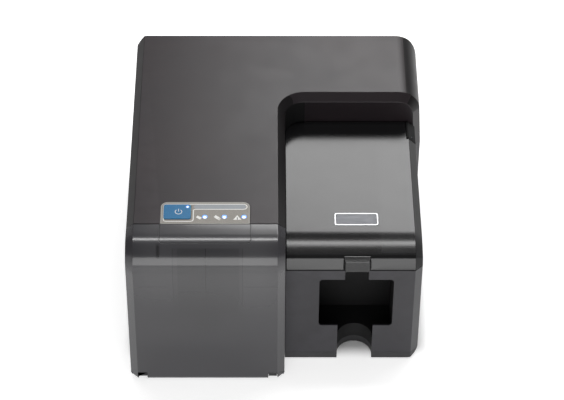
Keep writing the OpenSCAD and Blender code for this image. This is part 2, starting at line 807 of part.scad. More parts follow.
// Upright wall inside the door, with the opening for loading cards
bulkhead_top = body_h - 12.6;
hopper_top_z = body_h - hopper_z1;
hopper_open_w = hopper_w - 9;
hopper_slot_w = 31;
hopper_slot_z = 50;

module front_bulkhead() {
    color([0.13, 0.13, 0.14]) difference() {
        block([nose_x0, unit_front_y, floor_z], [nose_x1, door_seam_y + wall, bulkhead_top]);
        block([nose_x0 + wall, bay_front_y, 0], [nose_x1 - wall, far, bulkhead_top - wall]);
        along_y(unit_front_y - 1, unit_front_y + wall + 1)
            bay_opening(hopper_x, hopper_open_w, hopper_z0, hopper_top_z, hopper_slot_w, hopper_slot_z,
                        hopper_slot_w, hopper_top_z);
    }
}

module input_door() {
    slot = knuckle_w / 2 + 0.4;
    boss_r = door_bead_r - 0.6;
    l = slot + door_boss_w;
    color([0.36, 0.36, 0.38, 0.85]) difference() {
        door_form(0);
        difference() {
            door_form(wall);
            for (x = knuckle_places) rod_x(x - l, x + l, door_axis_y, door_axis_z, boss_r);
        }
        block([-far, door_seam_y - door_gap - eps, -far], [far, far, far]);
        // Room for the nose of the base pan while the door tips
        difference() {
            block([unit_left_x + wall, door_axis_y + 3, -far],
                  [unit_right_x - door_gap - wall, far, door_axis_z + 8]);
            for (x = knuckle_places) rod_x(x - l, x + l, door_axis_y, door_axis_z, boss_r);
        }
        for (x = knuckle_places) {
            block([x - slot, front_y - 1, -1], [x + slot, nose_front_y + 1, door_axis_z + 6.5]);
            rod_x(x - l - 0.1, x + l + 0.1, door_axis_y, door_axis_z, pin_d / 2 + fit);
        }
    }
}

lid_boss_r = lid_axis_low - 1;
lid_pin_l = 12;

module ink_lid() {
    edge = 3;
    color([0.5, 0.5, 0.51, 0.85]) difference() {
        union() {
            difference() {
                lid_form(0);
                lid_form(wall);
                block([0, -far, 0], [far, far, lid_seam_z + lid_gap - eps]);
                block([lid_left_x + wall, lid_axis_y + 4, lid_seam_z - 1], [far, far, lid_z - wall]);
            }
            rod_x(lid_left_x, lid_left_x + lid_pin_l, lid_axis_y, lid_axis_z, lid_boss_r);
            rod_x(cheek_x - lid_gap - lid_pin_l, cheek_x - lid_gap, lid_axis_y, lid_axis_z, lid_boss_r);
            finger_tab();
        }
        // The cheek at the right and the round corner at the left stay clear
        block([cheek_x - lid_gap, lid_axis_y - 6 - lid_gap, 0], [far, far, far]);
        block([-far, lid_axis_y + 4, 0], [far, far, lid_z - 4.5]);
        difference() {
            block([0, rear_y - recess_r, 0], [unit_right_x + recess_r, far, far]);
            rod_z(0, far, unit_right_x + recess_r, rear_y - recess_r, recess_r - lid_gap);
        }
        // Rounded rear edge
        difference() {
            block([0, rear_y - lid_gap - edge, lid_z - edge], [far, far, far]);
            rod_x(-1, far, rear_y - lid_gap - edge, lid_z - edge, edge);
        }
        for (x = [lid_left_x - 1, cheek_x - lid_gap - lid_pin_l - 1])
            rod_x(x, x + lid_pin_l + 2, lid_axis_y, lid_axis_z, pin_d / 2 + fit);
        badge_seat(0.1);
    }
}

tab_out = 3.2;
tab_h = 16.5;

module finger_tab() {
    x0 = bin_x - tab_w / 2;
    x1 = bin_x + tab_w / 2;
    z0 = lid_seam_z + lid_gap;
    hull() {
        block([x0, unit_front_y + 0.5, z0], [x1, unit_front_y + wall - 0.5, z0 + tab_h - 4]);
        block([x0 + 1, unit_front_y + 5, z0 + tab_h - 5], [x1 - 1, unit_front_y + 7, z0 + tab_h]);
        block([x0 + 2.5, unit_front_y - tab_out, z0], [x1 - 2.5, unit_front_y, z0 + tab_h - 4.5]);
        block([x0 + 2.5, unit_front_y - tab_out + 2, z0], [x1 - 2.5, unit_front_y, z0 + tab_h - 1]);
    }
}

// Loose pins of the door and the lid hinges
module hinge_pins() {
    l = knuckle_w / 2 + 0.4 + door_boss_w;
    color([0.75, 0.75, 0.77]) {
        for (x = knuckle_places) rod_x(x - l, x + l, door_axis_y, door_axis_z, pin_d / 2);
        rod_x(unit_right_x - 6.5, lid_left_x + lid_pin_l, lid_axis_y, lid_axis_z, pin_d / 2);
        rod_x(cheek_x - lid_gap - lid_pin_l, cheek_x + 6.5, lid_axis_y, lid_axis_z, pin_d / 2);
    }
}

badge_y = unit_front_y + lid_curve_d + badge_size[1] / 2 + 9.2;
badge_t = 1;

module badge_seat(play) {
    translate([bin_x, badge_y, lid_z - badge_t / 2]) linear_extrude(badge_t + play)
        rounded_rect(badge_size[0] + 2 * play, badge_size[1] + 2 * play, 2.5);
}

module badge_plate() {
    color([0.82, 0.82, 0.83]) difference() {
        badge_seat(0);
        translate([bin_x, badge_y, lid_z + badge_t / 2 - 0.25]) linear_extrude(1)
            rounded_rect(badge_size[0] - 3, badge_size[1] - 3, 1.6);
    }
}

module input_hopper() {
    x0 = hopper_x - hopper_w / 2;
    x1 = hopper_x + hopper_w / 2;
    y0 = bay_front_y + frame_gap;
    color([0.2, 0.2, 0.21]) difference() {
        block([x0 - wall, y0, floor_z], [x1 + wall, bay_back_y + wall, hopper_top_z + 4]);
        block([x0, y0 - 1, floor_z + wall], [x1, bay_back_y, far]);
        // Slot for the lift arm, gate for the top card, bores of the pick shaft
        block([hopper_x - 8, bay_back_y - 1, 28], [hopper_x + 8, far, path_z - 4]);
        block([x0 - eps, bay_back_y - 1, path_z - 1], [x1 + eps, far, path_z + 3]);
        rod_x(x0 - 4, x1 + 4, pick_y, pick_z, shaft_r + fit);
    }
}

lift_low_z = path_z - 1.5 - lift_travel;
lift_screw_y = bay_back_y + 13.5;
nut_r = 7;
screw_body_r = 4;

module lift_plate() {
    z = lift_low_z;
    x = card_l / 2 - 0.6;
    color([0.55, 0.56, 0.58]) difference() {
        union() {
            difference() {
                block([hopper_x - x, bay_front_y + 1.5, z - 2], [hopper_x + x, bay_back_y - 0.6, z]);
                block([hopper_x - 10, bay_front_y, z - 3], [hopper_x + 10, bay_front_y + 16, z + 1]);
            }
            block([hopper_x - 6, bay_back_y - 9, z - 12], [hopper_x + 6, bay_back_y - 2, z - 1]);
            block([hopper_x - 6, bay_back_y - 9, z - 12], [hopper_x + 6, lift_screw_y, z - 6]);
            rod_z(z - 14, z - 4, hopper_x, lift_screw_y, nut_r);
        }
        rod_z(z - 15, z, hopper_x, lift_screw_y, screw_body_r + fit);
    }
}

motor_r = 8.6;
lift_motor_h = 16;
screw_z0 = deck_z + lift_motor_h + 0.3;
screw_z1 = path_z - 4;

module lift_screw() {
    color([0.72, 0.72, 0.74]) {
        rod_z(screw_z0, screw_z1, hopper_x, lift_screw_y, screw_body_r);
        for (n = [0 : 1]) rod_z(screw_z0 + n * 1.6, screw_z0 + n * 1.6 + 0.8, hopper_x, lift_screw_y, 6);
    }
}

module lift_motor() {
    color([0.25, 0.25, 0.27]) difference() {
        union() {
            rod_z(deck_z, deck_z + lift_motor_h, hopper_x, lift_screw_y, motor_r);
            block([hopper_x - 13, lift_screw_y - 4, deck_z], [hopper_x + 13, lift_screw_y + 4, deck_z + 2]);
        }
        for (s = [-1, 1]) rod_z(deck_z - 1, deck_z + 3, hopper_x + s * 11, lift_screw_y, screw_r);
    }
}

module chassis_plate() {
    color([0.68, 0.69, 0.7]) difference() {
        block([-half_w + 12, chassis_front_y, chassis_z], [side_x - 12, chassis_back_y, deck_z]);
        for (p = boss_places) rod_z(chassis_z - 1, deck_z + 1, p[0], p[1], screw_r + 0.2);
    }
}

idler_turn = mesh_turn(train_a, feed_teeth, idler_teeth, train_a);
next_idler_turn = mesh_turn(idler_turn, idler_teeth, idler_teeth, train_a);
pick_turn = mesh_turn(next_idler_turn, idler_teeth, pick_teeth, train_a);
pinion_turn = mesh_turn(train_a, feed_teeth, pinion_teeth, -90);

module pick_roller() {
    x0 = gear_x - gear_w / 2 - 0.5;
    color([0.15, 0.15, 0.16]) rod_x(hopper_x - 16, hopper_x + 16, pick_y, pick_z, pick_r);
    color([0.7, 0.7, 0.72]) rod_x(x0, hopper_x + hopper_w / 2 + 4, pick_y, pick_z, shaft_r);
}

module pick_gear() {
    color([0.86, 0.85, 0.8]) gear_x(gear_x, pick_y, pick_z, pick_teeth, shaft_r + 0.02, pick_turn);
}

module feed_idler_gear() {
    p = idler_at[0];
    color([0.86, 0.85, 0.8]) gear_x(gear_x, p[0], p[1], idler_teeth, shaft_r + fit, idler_turn);
}

module pick_idler_gear() {
    p = idler_at[1];
    color([0.86, 0.85, 0.8]) gear_x(gear_x, p[0], p[1], idler_teeth, shaft_r + fit, next_idler_turn);
}

module feed_gear() {
    color([0.86, 0.85, 0.8]) gear_x(gear_x, nip_y, feed_z, feed_teeth, shaft_r + 0.02, train_a);
}

module motor_pinion() {
    color([0.8, 0.68, 0.4]) gear_x(gear_x, nip_y, pinion_z, pinion_teeth, 1.55, pinion_turn);
}

// Two side plates and the deck of one lane, about the lane's middle x
module lane_frame(x, left_bores) {
    y0 = lane_front_y;
    y1 = nip_y + roller_d / 2 + 1;
    for (s = [-1, 1]) difference() {
        union() {
            block([x + s * (lane_half + sheet / 2) - sheet / 2, y0, deck_z],
                  [x + s * (lane_half + sheet / 2) + sheet / 2, y1, frame_top_z]);
            block([x + s * (lane_half - 4) - 4, y0, deck_z],
                  [x + s * (lane_half - 4) + 4, y1, deck_z + sheet]);
        }
        rod_x(x + s * lane_half - 4, x + s * lane_half + 4, nip_y, feed_z, shaft_r + fit);
        rod_x(x + s * lane_half - 4, x + s * lane_half + 4, nip_y, pinch_z, 2 + fit);
        if (left_bores && s < 0) rod_x(x - far, x, nip_y, pinion_z, 4);
    }
    block([x - lane_half - eps, y0, path_z - 3.2],
          [x + lane_half + eps, nip_y - roller_d / 2 - 1.2, path_z - 0.5]);
}

module feed_frame() {
    color([0.62, 0.63, 0.64]) {
        lane_frame(hopper_x, true);
        // Studs of the two idler gears, the front one on an ear of the side plate
        for (p = idler_at)
            rod_x(gear_x - gear_w / 2 - 0.5, hopper_x - lane_half - sheet / 2, p[0], p[1], shaft_r);
        block([hopper_x - lane_half - sheet, idler_at[1][0] - 6, idler_at[1][1] - 6],
              [hopper_x - lane_half, lane_front_y + 1, idler_at[1][1] + 6]);
    }
}

module lane_roller(x, x0, x1) {
    color([0.15, 0.15, 0.16]) for (s = [-1, 0, 1])
        rod_x(x + s * 27 - 9, x + s * 27 + 9, nip_y, feed_z, roller_d / 2);
    color([0.7, 0.7, 0.72]) rod_x(x0, x1, nip_y, feed_z, shaft_r);
}

module lane_pinch(x) {
    color([0.8, 0.8, 0.82]) {
        for (s = [-1, 0, 1]) rod_x(x + s * 27 - 7, x + s * 27 + 7, nip_y, pinch_z, pinch_d / 2);
        rod_x(x - lane_half - sheet, x + lane_half + sheet, nip_y, pinch_z, 2);
    }
}

module feed_roller() {
    lane_roller(hopper_x, gear_x - gear_w / 2 - 0.5, hopper_x + lane_half + 3);
}

module feed_pinch_roller() {
    lane_pinch(hopper_x);
}

module feed_motor() {
    x = hopper_x - lane_half;
    color([0.3, 0.3, 0.32]) {
        rod_x(x, x + 30, nip_y, pinion_z, motor_r);
        rod_x(gear_x - gear_w / 2 - 0.5, x + 1, nip_y, pinion_z, 1.5);
        rod_x(x - 1.6, x + 1, nip_y, pinion_z, 3.8);
    }
}

module exit_frame() {
    color([0.62, 0.63, 0.64]) lane_frame(bin_x, false);
}

module exit_roller() {
    lane_roller(bin_x, bin_x - lane_half - 3, bin_x + lane_half + sheet + 4);
}

module exit_pinch_roller() {
    lane_pinch(bin_x);
}

// The exit motor turns its roller shaft directly, with a bore for the shaft end
module exit_motor() {
    x = bin_x + lane_half + sheet + 0.2;
    color([0.3, 0.3, 0.32]) difference() {
        union() {
            rod_x(x, x + 20, nip_y, feed_z, 13);
            block([x, nip_y - 6, deck_z], [x + 12, nip_y + 6, feed_z - 8]);
        }
        rod_x(x - 1, x + 6, nip_y, feed_z, shaft_r + fit);
    }
}

shuttle_x0 = hopper_x - shuttle_end;
shuttle_x1 = hopper_x + shuttle_travel + shuttle_end;
shuttle_rod_ys = [shuttle_front_y + shuttle_rod_in, shuttle_back_y - shuttle_rod_in];
shuttle_half = 44;
shuttle_motor_r = 16;
shuttle_pulley_in = sheet / 2 + shuttle_motor_r + 1.2;
shuttle_pulley_x0 = shuttle_x0 + shuttle_pulley_in;
shuttle_pulley_x1 = shuttle_x1 - shuttle_pulley_in;
shuttle_bracket_y = shuttle_belt_y + belt_w / 2 + 3;

module shuttle_frame() {
    color([0.62, 0.63, 0.64]) for (x = [shuttle_x0, shuttle_x1]) {
        difference() {
            union() {
                block([x - sheet / 2, shuttle_front_y, deck_z],
                      [x + sheet / 2, shuttle_back_y, shuttle_rod_z + 7]);
                block([x - 6, shuttle_front_y, deck_z], [x + 6, shuttle_back_y, deck_z + sheet]);
            }
            for (y = shuttle_rod_ys) rod_x(x - 7, x + 7, y, shuttle_rod_z, rod_d / 2 + 0.02);
        }
    }
    y = shuttle_bracket_y;
    color([0.62, 0.63, 0.64]) for (x = [shuttle_pulley_x0, shuttle_pulley_x1]) difference() {
        union() {
            block([x - 9, y, deck_z], [x + 9, y + sheet, shuttle_belt_z + 9]);
            block([x - 9, y, deck_z], [x + 9, y + 7, deck_z + sheet]);
        }
        rod_y(shuttle_belt_y, far, x, shuttle_belt_z, 2.5 + fit);
    }
}

module shuttle_rods() {
    color([0.78, 0.78, 0.8]) for (y = shuttle_rod_ys)
        rod_x(shuttle_x0 - 2, shuttle_x1 + 2, y, shuttle_rod_z, rod_d / 2);
}

module card_shuttle() {
    x0 = hopper_x - shuttle_half;
    x1 = hopper_x + shuttle_half;
    rail_z = shuttle_rod_z - 6;
    color([0.85, 0.85, 0.83]) difference() {
        union() {
            block([x0, shuttle_front_y, path_z - 5], [x1, shuttle_back_y, path_z - 1]);
            block([x0, shuttle_back_y - 2.5, path_z - 5], [x1, shuttle_back_y, path_z + 1.2]);
            for (s = [x0, x1 - 12]) for (y = shuttle_rod_ys)
                block([s, y - 6.5, rail_z - 1], [s + 12, y + 6.5, path_z - 4]);
            block([hopper_x - 8, shuttle_belt_y - 4, shuttle_belt_z + pulley_r - 2],
                  [hopper_x + 8, shuttle_belt_y + 4, path_z - 4]);
        }
        for (y = shuttle_rod_ys) rod_x(x0 - 1, x1 + 1, y, shuttle_rod_z, rod_d / 2 + fit);
        block([hopper_x - 9, shuttle_belt_y - belt_w / 2 - 0.1, shuttle_belt_z + pulley_r - 0.1],
              [hopper_x + 9, shuttle_belt_y + belt_w / 2 + 0.1, shuttle_belt_z + pulley_r + belt_t + 0.1]);
        for (x = [-30 : 12 : 30])
            block([hopper_x + x - 2, shuttle_belt_y + 8, path_z - 2.5],
                  [hopper_x + x + 2, shuttle_belt_y + 16, path_z]);
    }
}

module pulley_y(x) {
    translate([x, shuttle_belt_y + (belt_w + 1) / 2, shuttle_belt_z]) rotate([90, 0, 0]) children();
}

module shuttle_drive_pulley() {
    color([0.75, 0.75, 0.77]) pulley_y(shuttle_pulley_x0) pulley(2.5);
}

module shuttle_idler_pulley() {
    color([0.75, 0.75, 0.77]) {
        pulley_y(shuttle_pulley_x1) pulley(2.5);
        rod_y(shuttle_belt_y - belt_w / 2 - 1.5, shuttle_bracket_y + sheet + 2,
              shuttle_pulley_x1, shuttle_belt_z, 2.5);
    }
}

module shuttle_belt() {
    span = shuttle_pulley_x1 - shuttle_pulley_x0;
    color([0.12, 0.12, 0.12]) translate([shuttle_pulley_x0, shuttle_belt_y + belt_w / 2, shuttle_belt_z])
        rotate([90, 0, 0]) belt_loop(span);
}

module shuttle_motor() {
    x = shuttle_pulley_x0;
    y = shuttle_bracket_y + sheet;
    color([0.3, 0.3, 0.32]) {
        translate([x, y + 34, shuttle_belt_z]) rotate([90, 0, 0])
            motor(shuttle_motor_r, 34, 2.45, 7.5 + belt_w);
        block([x - 10, y + 6, deck_z], [x + 10, y + 28, shuttle_belt_z - 13]);
    }
}

gantry_rod_xs = [gantry_x - gantry_rod_dx, gantry_x + gantry_rod_dx];
gantry_top_z = gantry_z + 10;
gantry_pulley_y0 = gantry_front_y + 12;
gantry_pulley_y1 = gantry_back_y - 11;
gantry_leg_x1 = bin_x - lane_half - sheet - 1;
gantry_rail_x = carriage_belt_x + belt_w / 2 + 2.6;

module gantry_frame() {
    x0 = lid_left_x + wall + 0.8;
    foot = 4;
    color([0.62, 0.63, 0.64]) for (y = [gantry_front_y, gantry_back_y]) difference() {
        y_foot = y + sign(gantry_back_y - y - 1) * foot;
        union() {
            block([x0, y - sheet / 2, deck_z], [gantry_leg_x1, y + sheet / 2, gantry_top_z]);
            block([x0, y - sheet / 2, frame_top_z + 1],
                  [gantry_rail_x + sheet, y + sheet / 2, gantry_top_z]);
            block([x0, y_foot - foot, deck_z], [gantry_leg_x1, y_foot + foot, deck_z + sheet]);
        }
        for (x = gantry_rod_xs) rod_y(y - 6, y + 6, x, gantry_z, rod_d / 2 + 0.02);
    }
    // Side rail that carries the two belt pulleys
    color([0.62, 0.63, 0.64]) difference() {
        block([gantry_rail_x, gantry_front_y, gantry_z - 8],
              [gantry_rail_x + sheet, gantry_back_y, gantry_z + 8]);
        for (y = [gantry_pulley_y0, gantry_pulley_y1]) rod_x(carriage_belt_x, far, y, gantry_z, 2.5 + fit);
    }
}

module gantry_rods() {
    color([0.78, 0.78, 0.8]) for (x = gantry_rod_xs)
        rod_y(gantry_front_y - sheet / 2, gantry_back_y + sheet / 2 + 1, x, gantry_z, rod_d / 2);
}

cartridge_w = 14.6;
cartridge_d = 32;
cartridge_top = lid_z - wall - 4.6;

module print_carriage() {
    y = carriage_home_y;
    w = carriage_w / 2;
    d = carriage_d / 2;
    z1 = carriage_z0 + carriage_h;
    color([0.17, 0.17, 0.18]) difference() {
        union() {
            block([gantry_x - w, y - d, carriage_z0], [gantry_x + w, y + d, z1]);
            block([gantry_x - 6, y - 9, path_z + 2.2], [gantry_x + 6, y + 9, carriage_z0 + 1]);
            block([gantry_x + w - 1, y - 4, gantry_z + pulley_r - 2],
                  [carriage_belt_x + 4, y + 4, gantry_z + pulley_r + 3.5]);
        }
        for (x = gantry_rod_xs) rod_y(y - d - 1, y + d + 1, x, gantry_z, rod_d / 2 + fit);
        block([gantry_x - cartridge_w / 2 - 0.3, y - cartridge_d / 2 - 0.3, carriage_z0 + 3],
              [gantry_x + cartridge_w / 2 + 0.3, y + cartridge_d / 2 + 0.3, far]);
        block([gantry_x - 4.3, y - 7.3, 0], [gantry_x + 4.3, y + 7.3, far]);
        block([carriage_belt_x - belt_w / 2 - 0.1, y - 7, gantry_z + pulley_r - 0.1],
              [carriage_belt_x + belt_w / 2 + 0.1, y + 7, gantry_z + pulley_r + belt_t + 0.1]);
        rod_x(gantry_x - far, gantry_x + far, y - d + 3, z1 - 3.2, 1 + fit);
        block([gantry_x - 7.8, y - d - 1, z1 - 7.5], [gantry_x + 7.8, y - cartridge_d / 2 - 0.2, z1 + 1]);
    }
}

module ink_cartridge() {
    y = carriage_home_y;
    z1 = cartridge_top;
    color([0.1, 0.1, 0.11]) {
        block([gantry_x - cartridge_w / 2, y - cartridge_d / 2, carriage_z0 + 3],
              [gantry_x + cartridge_w / 2, y + cartridge_d / 2, z1]);
        block([gantry_x - 4, y - 7, path_z + 1.6], [gantry_x + 4, y + 7, carriage_z0 + 4]);
    }
    color([0.2, 0.55, 0.75]) block([gantry_x - 5, y - 12, z1 - eps], [gantry_x + 5, y + 12, z1 + 0.6]);
}

// Latch that hooks over the front of the cartridge, on a cross pin
module cartridge_latch() {
    y = carriage_home_y - carriage_d / 2 + 3;
    z = carriage_z0 + carriage_h - 3.2;
    z1 = cartridge_top + 0.3;
    color([0.2, 0.5, 0.3]) {
        rod_x(gantry_x - 10, gantry_x + 10, y, z, 1);
        rod_x(gantry_x - 7.2, gantry_x + 7.2, y, z, 2.6);
        block([gantry_x - 7.2, y - 1.2, z], [gantry_x + 7.2, y + 1.2, z1 + 0.2]);
        block([gantry_x - 7.2, y - 1.2, z1], [gantry_x + 7.2, y + 6.6, z1 + 1.6]);
    }
}

module pulley_x_at(y) {
    translate([carriage_belt_x - (belt_w + 1) / 2, y, gantry_z]) rotate([0, 90, 0]) children();
}

module carriage_drive_pulley() {
    color([0.75, 0.75, 0.77]) pulley_x_at(gantry_pulley_y1) pulley(2.5);
}

module carriage_idler_pulley() {
    color([0.75, 0.75, 0.77]) {
        pulley_x_at(gantry_pulley_y0) pulley(2.5);
        rod_x(carriage_belt_x - belt_w / 2 - 1.5, gantry_rail_x + sheet + 2,
              gantry_pulley_y0, gantry_z, 2.5);
    }
}

module carriage_belt() {
    span = gantry_pulley_y1 - gantry_pulley_y0;
    color([0.12, 0.12, 0.12]) translate([carriage_belt_x - belt_w / 2, gantry_pulley_y0, gantry_z])
        rotate([90, 0, 90]) belt_loop(span);
}

module carriage_motor() {
    x = gantry_rail_x + sheet;
    color([0.3, 0.3, 0.32]) translate([x + 28, gantry_pulley_y1, gantry_z]) rotate([0, -90, 0])
        motor(12, 28, 2.45, 7 + belt_w);
}

// Capping tray under the parked print head
module service_station() {
    y = carriage_home_y;
    color([0.3, 0.31, 0.33]) {
        block([gantry_x - 13, y - 20, deck_z], [gantry_x + 13, y + 15, path_z - 14]);
        difference() {
            block([gantry_x - 11, y - 16, path_z - 15], [gantry_x + 11, y + 16, path_z - 4]);
            block([gantry_x - 9, y - 14, path_z - 8], [gantry_x + 9, y + 14, path_z]);
        }
    }
    color([0.1, 0.1, 0.1]) difference() {
        block([gantry_x - 7, y - 10, path_z - 9], [gantry_x + 7, y + 10, path_z + 1]);
        block([gantry_x - 5, y - 8, path_z - 3], [gantry_x + 5, y + 8, path_z + 2]);
    }
}

// Bin behind the output opening: floor with its thumb notch, side walls and roof
module output_tray() {
    x0 = bin_x - bin_w / 2;
    x1 = bin_x + bin_w / 2;
    y0 = bay_front_y + frame_gap;
    roof_z = lid_seam_z - lid_ledge_h;
    color([0.22, 0.22, 0.23]) difference() {
        union() {
            difference() {
                block([x0 - wall, y0, pan_top], [x1 + wall, bay_back_y + wall, roof_z]);
                block([x0, y0 - 1, tray_z], [x1, bay_back_y, roof_z - wall]);
                block([x0 + 2, y0 + 2, 0], [x1 - 2, bay_back_y - 2, tray_z - wall]);
            }
            difference() {
                notch_cut(pan_top, tray_z - 1, wall);
                block([-far, -far, -far], [far, y0, far]);
            }
        }
        difference() {
            notch_cut(pan_top - 1, tray_z + 1);
            block([-far, -far, -far], [far, unit_front_y - 2, far]);
        }
        translate([0, 0, roof_z - wall - 1]) linear_extrude(wall + 2) {
            translate([bin_x, y0 - 2]) square([upper_slot_w - 4, 12], center = true);
            translate([bin_x, y0 + 4]) circle(upper_slot_w / 2 - 2);
        }
        block([x0 + 1, bay_back_y - 1, path_z - 6], [x1 - 1, far, path_z + 5]);
    }
}

module power_supply() {
    x0 = -half_w + 20;
    y1 = back_y - wall - 16;
    color([0.66, 0.67, 0.68]) difference() {
        block([x0, y1 - 95, deck_z + 4], [x0 + 118, y1 - 30, deck_z + 62]);
        for (x = [x0 + 14 : 9 : x0 + 95]) block([x, y1 - 96, deck_z + 16], [x + 4, y1 - 94, deck_z + 50]);
    }
    color([0.66, 0.67, 0.68]) for (sx = [8, 110]) for (y = [y1 - 87, y1 - 38])
        rod_z(deck_z, deck_z + 4.01, x0 + sx, y, 4);
}

board_x0 = -20;
board_x1 = side_x - 16;
board_y0 = rear_y + 12;
board_y1 = back_y - wall - 9;
board_h = port_z - 1.6;

module main_board() {
    color([0.08, 0.34, 0.18]) {
        block([board_x0, board_y0, board_h], [board_x1, board_y1, board_h + 1.6]);
        for (x = [board_x0 + 8, board_x1 - 8]) for (y = [board_y0 + 8, board_y1 - 6])
            rod_z(deck_z, board_h + 0.01, x, y, 3);
    }
    color([0.12, 0.12, 0.13]) {
        block([board_x0 + 70, board_y0 + 28, board_h + 1.5], [board_x0 + 104, board_y0 + 62, board_h + 5]);
        block([board_x0 + 26, board_y0 + 18, board_h + 1.5], [board_x0 + 46, board_y0 + 38, board_h + 4]);
        for (n = [0 : 3]) rod_z(board_h + 1.5, board_h + 14, board_x0 + 130 + n * 10, board_y0 + 20, 4);
    }
}

module rear_ports() {
    y1 = back_y - wall + 1.5;
    play = 0.2;
    // Plate that closes the notch from inside, over the rim of the base pan
    color([0.75, 0.75, 0.77]) difference() {
        block([port_plate_x0, back_y - wall - sheet, pan_top + 0.2],
              [port_plate_x1, back_y - wall, port_plate_z1]);
        for (p = [[usb_x, usb_w, usb_h], [net_x, net_w, net_h]])
            block([p[0] - p[1] / 2 - play, 0, port_z - play],
                  [p[0] + p[1] / 2 + play, far, port_z + p[2] + play]);
    }
    color([0.75, 0.75, 0.77]) difference() {
        union() {
            block([usb_x - usb_w / 2, board_y1 - 8, port_z], [usb_x + usb_w / 2, y1, port_z + usb_h]);
            block([net_x - net_w / 2, board_y1 - 8, port_z], [net_x + net_w / 2, y1, port_z + net_h]);
        }
        block([usb_x - usb_w / 2 + 2, y1 - 8, port_z + 2],
              [usb_x + usb_w / 2 - 2, y1 + 1, port_z + usb_h - 2]);
        block([net_x - net_w / 2 + 2, y1 - 10, port_z + 2],
              [net_x + net_w / 2 - 2, y1 + 1, port_z + net_h - 3]);
    }
}

fan_t = 10;
fan_y1 = back_y - wall - 0.3;

module fan_frame() {
    w = fan_w / 2;
    color([0.1, 0.1, 0.11]) difference() {
        union() {
            difference() {
                block([fan_x - w, fan_y1 - fan_t, fan_z - w], [fan_x + w, fan_y1, fan_z + w]);
                rod_y(fan_y1 - fan_t - 1, fan_y1 + 1, fan_x, fan_z, w - 1);
            }
            rod_y(fan_y1 - fan_t, fan_y1 - fan_t + 2, fan_x, fan_z, 8);
            for (a = [45 : 90 : 315]) translate([fan_x, fan_y1 - fan_t + 2, fan_z]) rotate([90, a, 0])
                translate([0, -1.2, 0]) cube([w + 3, 2.4, 2]);
            rod_y(fan_y1 - fan_t, fan_y1 - 3, fan_x, fan_z, 1.5);
        }
        for (sx = [-1, 1]) for (sz = [-1, 1]) rod_y(0, far, fan_x + sx * 16, fan_z + sz * 16, 1.6);
    }
}

module fan_rotor() {
    blade_r = fan_w / 2 - 2;
    color([0.14, 0.14, 0.15]) difference() {
        union() {
            rod_y(fan_y1 - fan_t + 2.6, fan_y1 - 1, fan_x, fan_z, 8);
            for (n = [0 : 6]) translate([fan_x, fan_y1 - fan_t / 2 + 0.8, fan_z]) rotate([0, n * 360 / 7, 0])
                rotate([35, 0, 0]) translate([6, -0.5, -3]) cube([blade_r - 6, 1, 6]);
        }
        rod_y(0, fan_y1 - 2.4, fan_x, fan_z, 1.5 + fit);
    }
}

// Standard three-pole appliance inlet with its cavity and blades
module power_inlet() {
    y1 = back_y + 1.5;
    color([0.07, 0.07, 0.08]) difference() {
        union() {
            block([inlet_x - inlet_w / 2, back_y - 24, inlet_z - inlet_h / 2],
                  [inlet_x + inlet_w / 2, y1, inlet_z + inlet_h / 2]);
            block([inlet_x - inlet_w / 2 - 2, back_y, inlet_z - inlet_h / 2 - 2],
                  [switch_x + switch_w / 2 + 2, y1, inlet_z + inlet_h / 2 + 2]);
            block([switch_x - switch_w / 2, back_y - 14, inlet_z - switch_h / 2],
                  [switch_x + switch_w / 2, y1, inlet_z + switch_h / 2]);
        }
        block([inlet_x - 12, y1 - 16, inlet_z - 8.5], [inlet_x + 12, y1 + 1, inlet_z + 8.5]);
        block([switch_x - rocker_w / 2 - 0.3, back_y - 12, inlet_z - switch_h / 2 + 0.8],
              [switch_x + rocker_w / 2 + 0.3, y1 + 1, inlet_z + switch_h / 2 - 0.8]);
    }
    color([0.6, 0.6, 0.62])
        rod_x(switch_x - switch_w / 2 + 0.2, switch_x + switch_w / 2 - 0.2, rocker_y, inlet_z, 1);
    color([0.8, 0.78, 0.7]) for (p = [[-7, -2], [0, 2], [7, -2]])
        block([inlet_x + p[0] - 1, y1 - 17, inlet_z + p[1] - 2],
              [inlet_x + p[0] + 1, y1 - 3, inlet_z + p[1] + 2]);
}

// Rocker that tips about the cross pin in the inlet's plate, stored with its lower end pressed
module power_switch() {
    l = switch_h / 2 - 2.4;
    color([0.06, 0.06, 0.07]) difference() {
        along_x(switch_x - rocker_w / 2, switch_x + rocker_w / 2) polygon([
            [rocker_y - 3, inlet_z - l + 3], [rocker_y + 2.6, inlet_z - l], [rocker_y + 3.6, inlet_z],
            [rocker_y + 4.8, inlet_z + l], [rocker_y - 3, inlet_z + l - 3]]);
        rod_x(switch_x - 8, switch_x + 8, rocker_y, inlet_z, 1 + fit);
    }
}

module case_screws() {
    color([0.2, 0.2, 0.21]) {
        for (x = tab_places) {
            rod_y(back_y - 2 * wall - 3, back_y + 0.1, x, seam_z - 8, screw_r - 0.01);
            rod_y(back_y, back_y + 1.8, x, seam_z - 8, 2.8);
        }
        for (p = boss_places) {
            rod_z(floor_z + 0.2, deck_z + 0.1, p[0], p[1], screw_r - 0.01);
            rod_z(deck_z, deck_z + 1.6, p[0], p[1], 2.8);
        }
    }
}

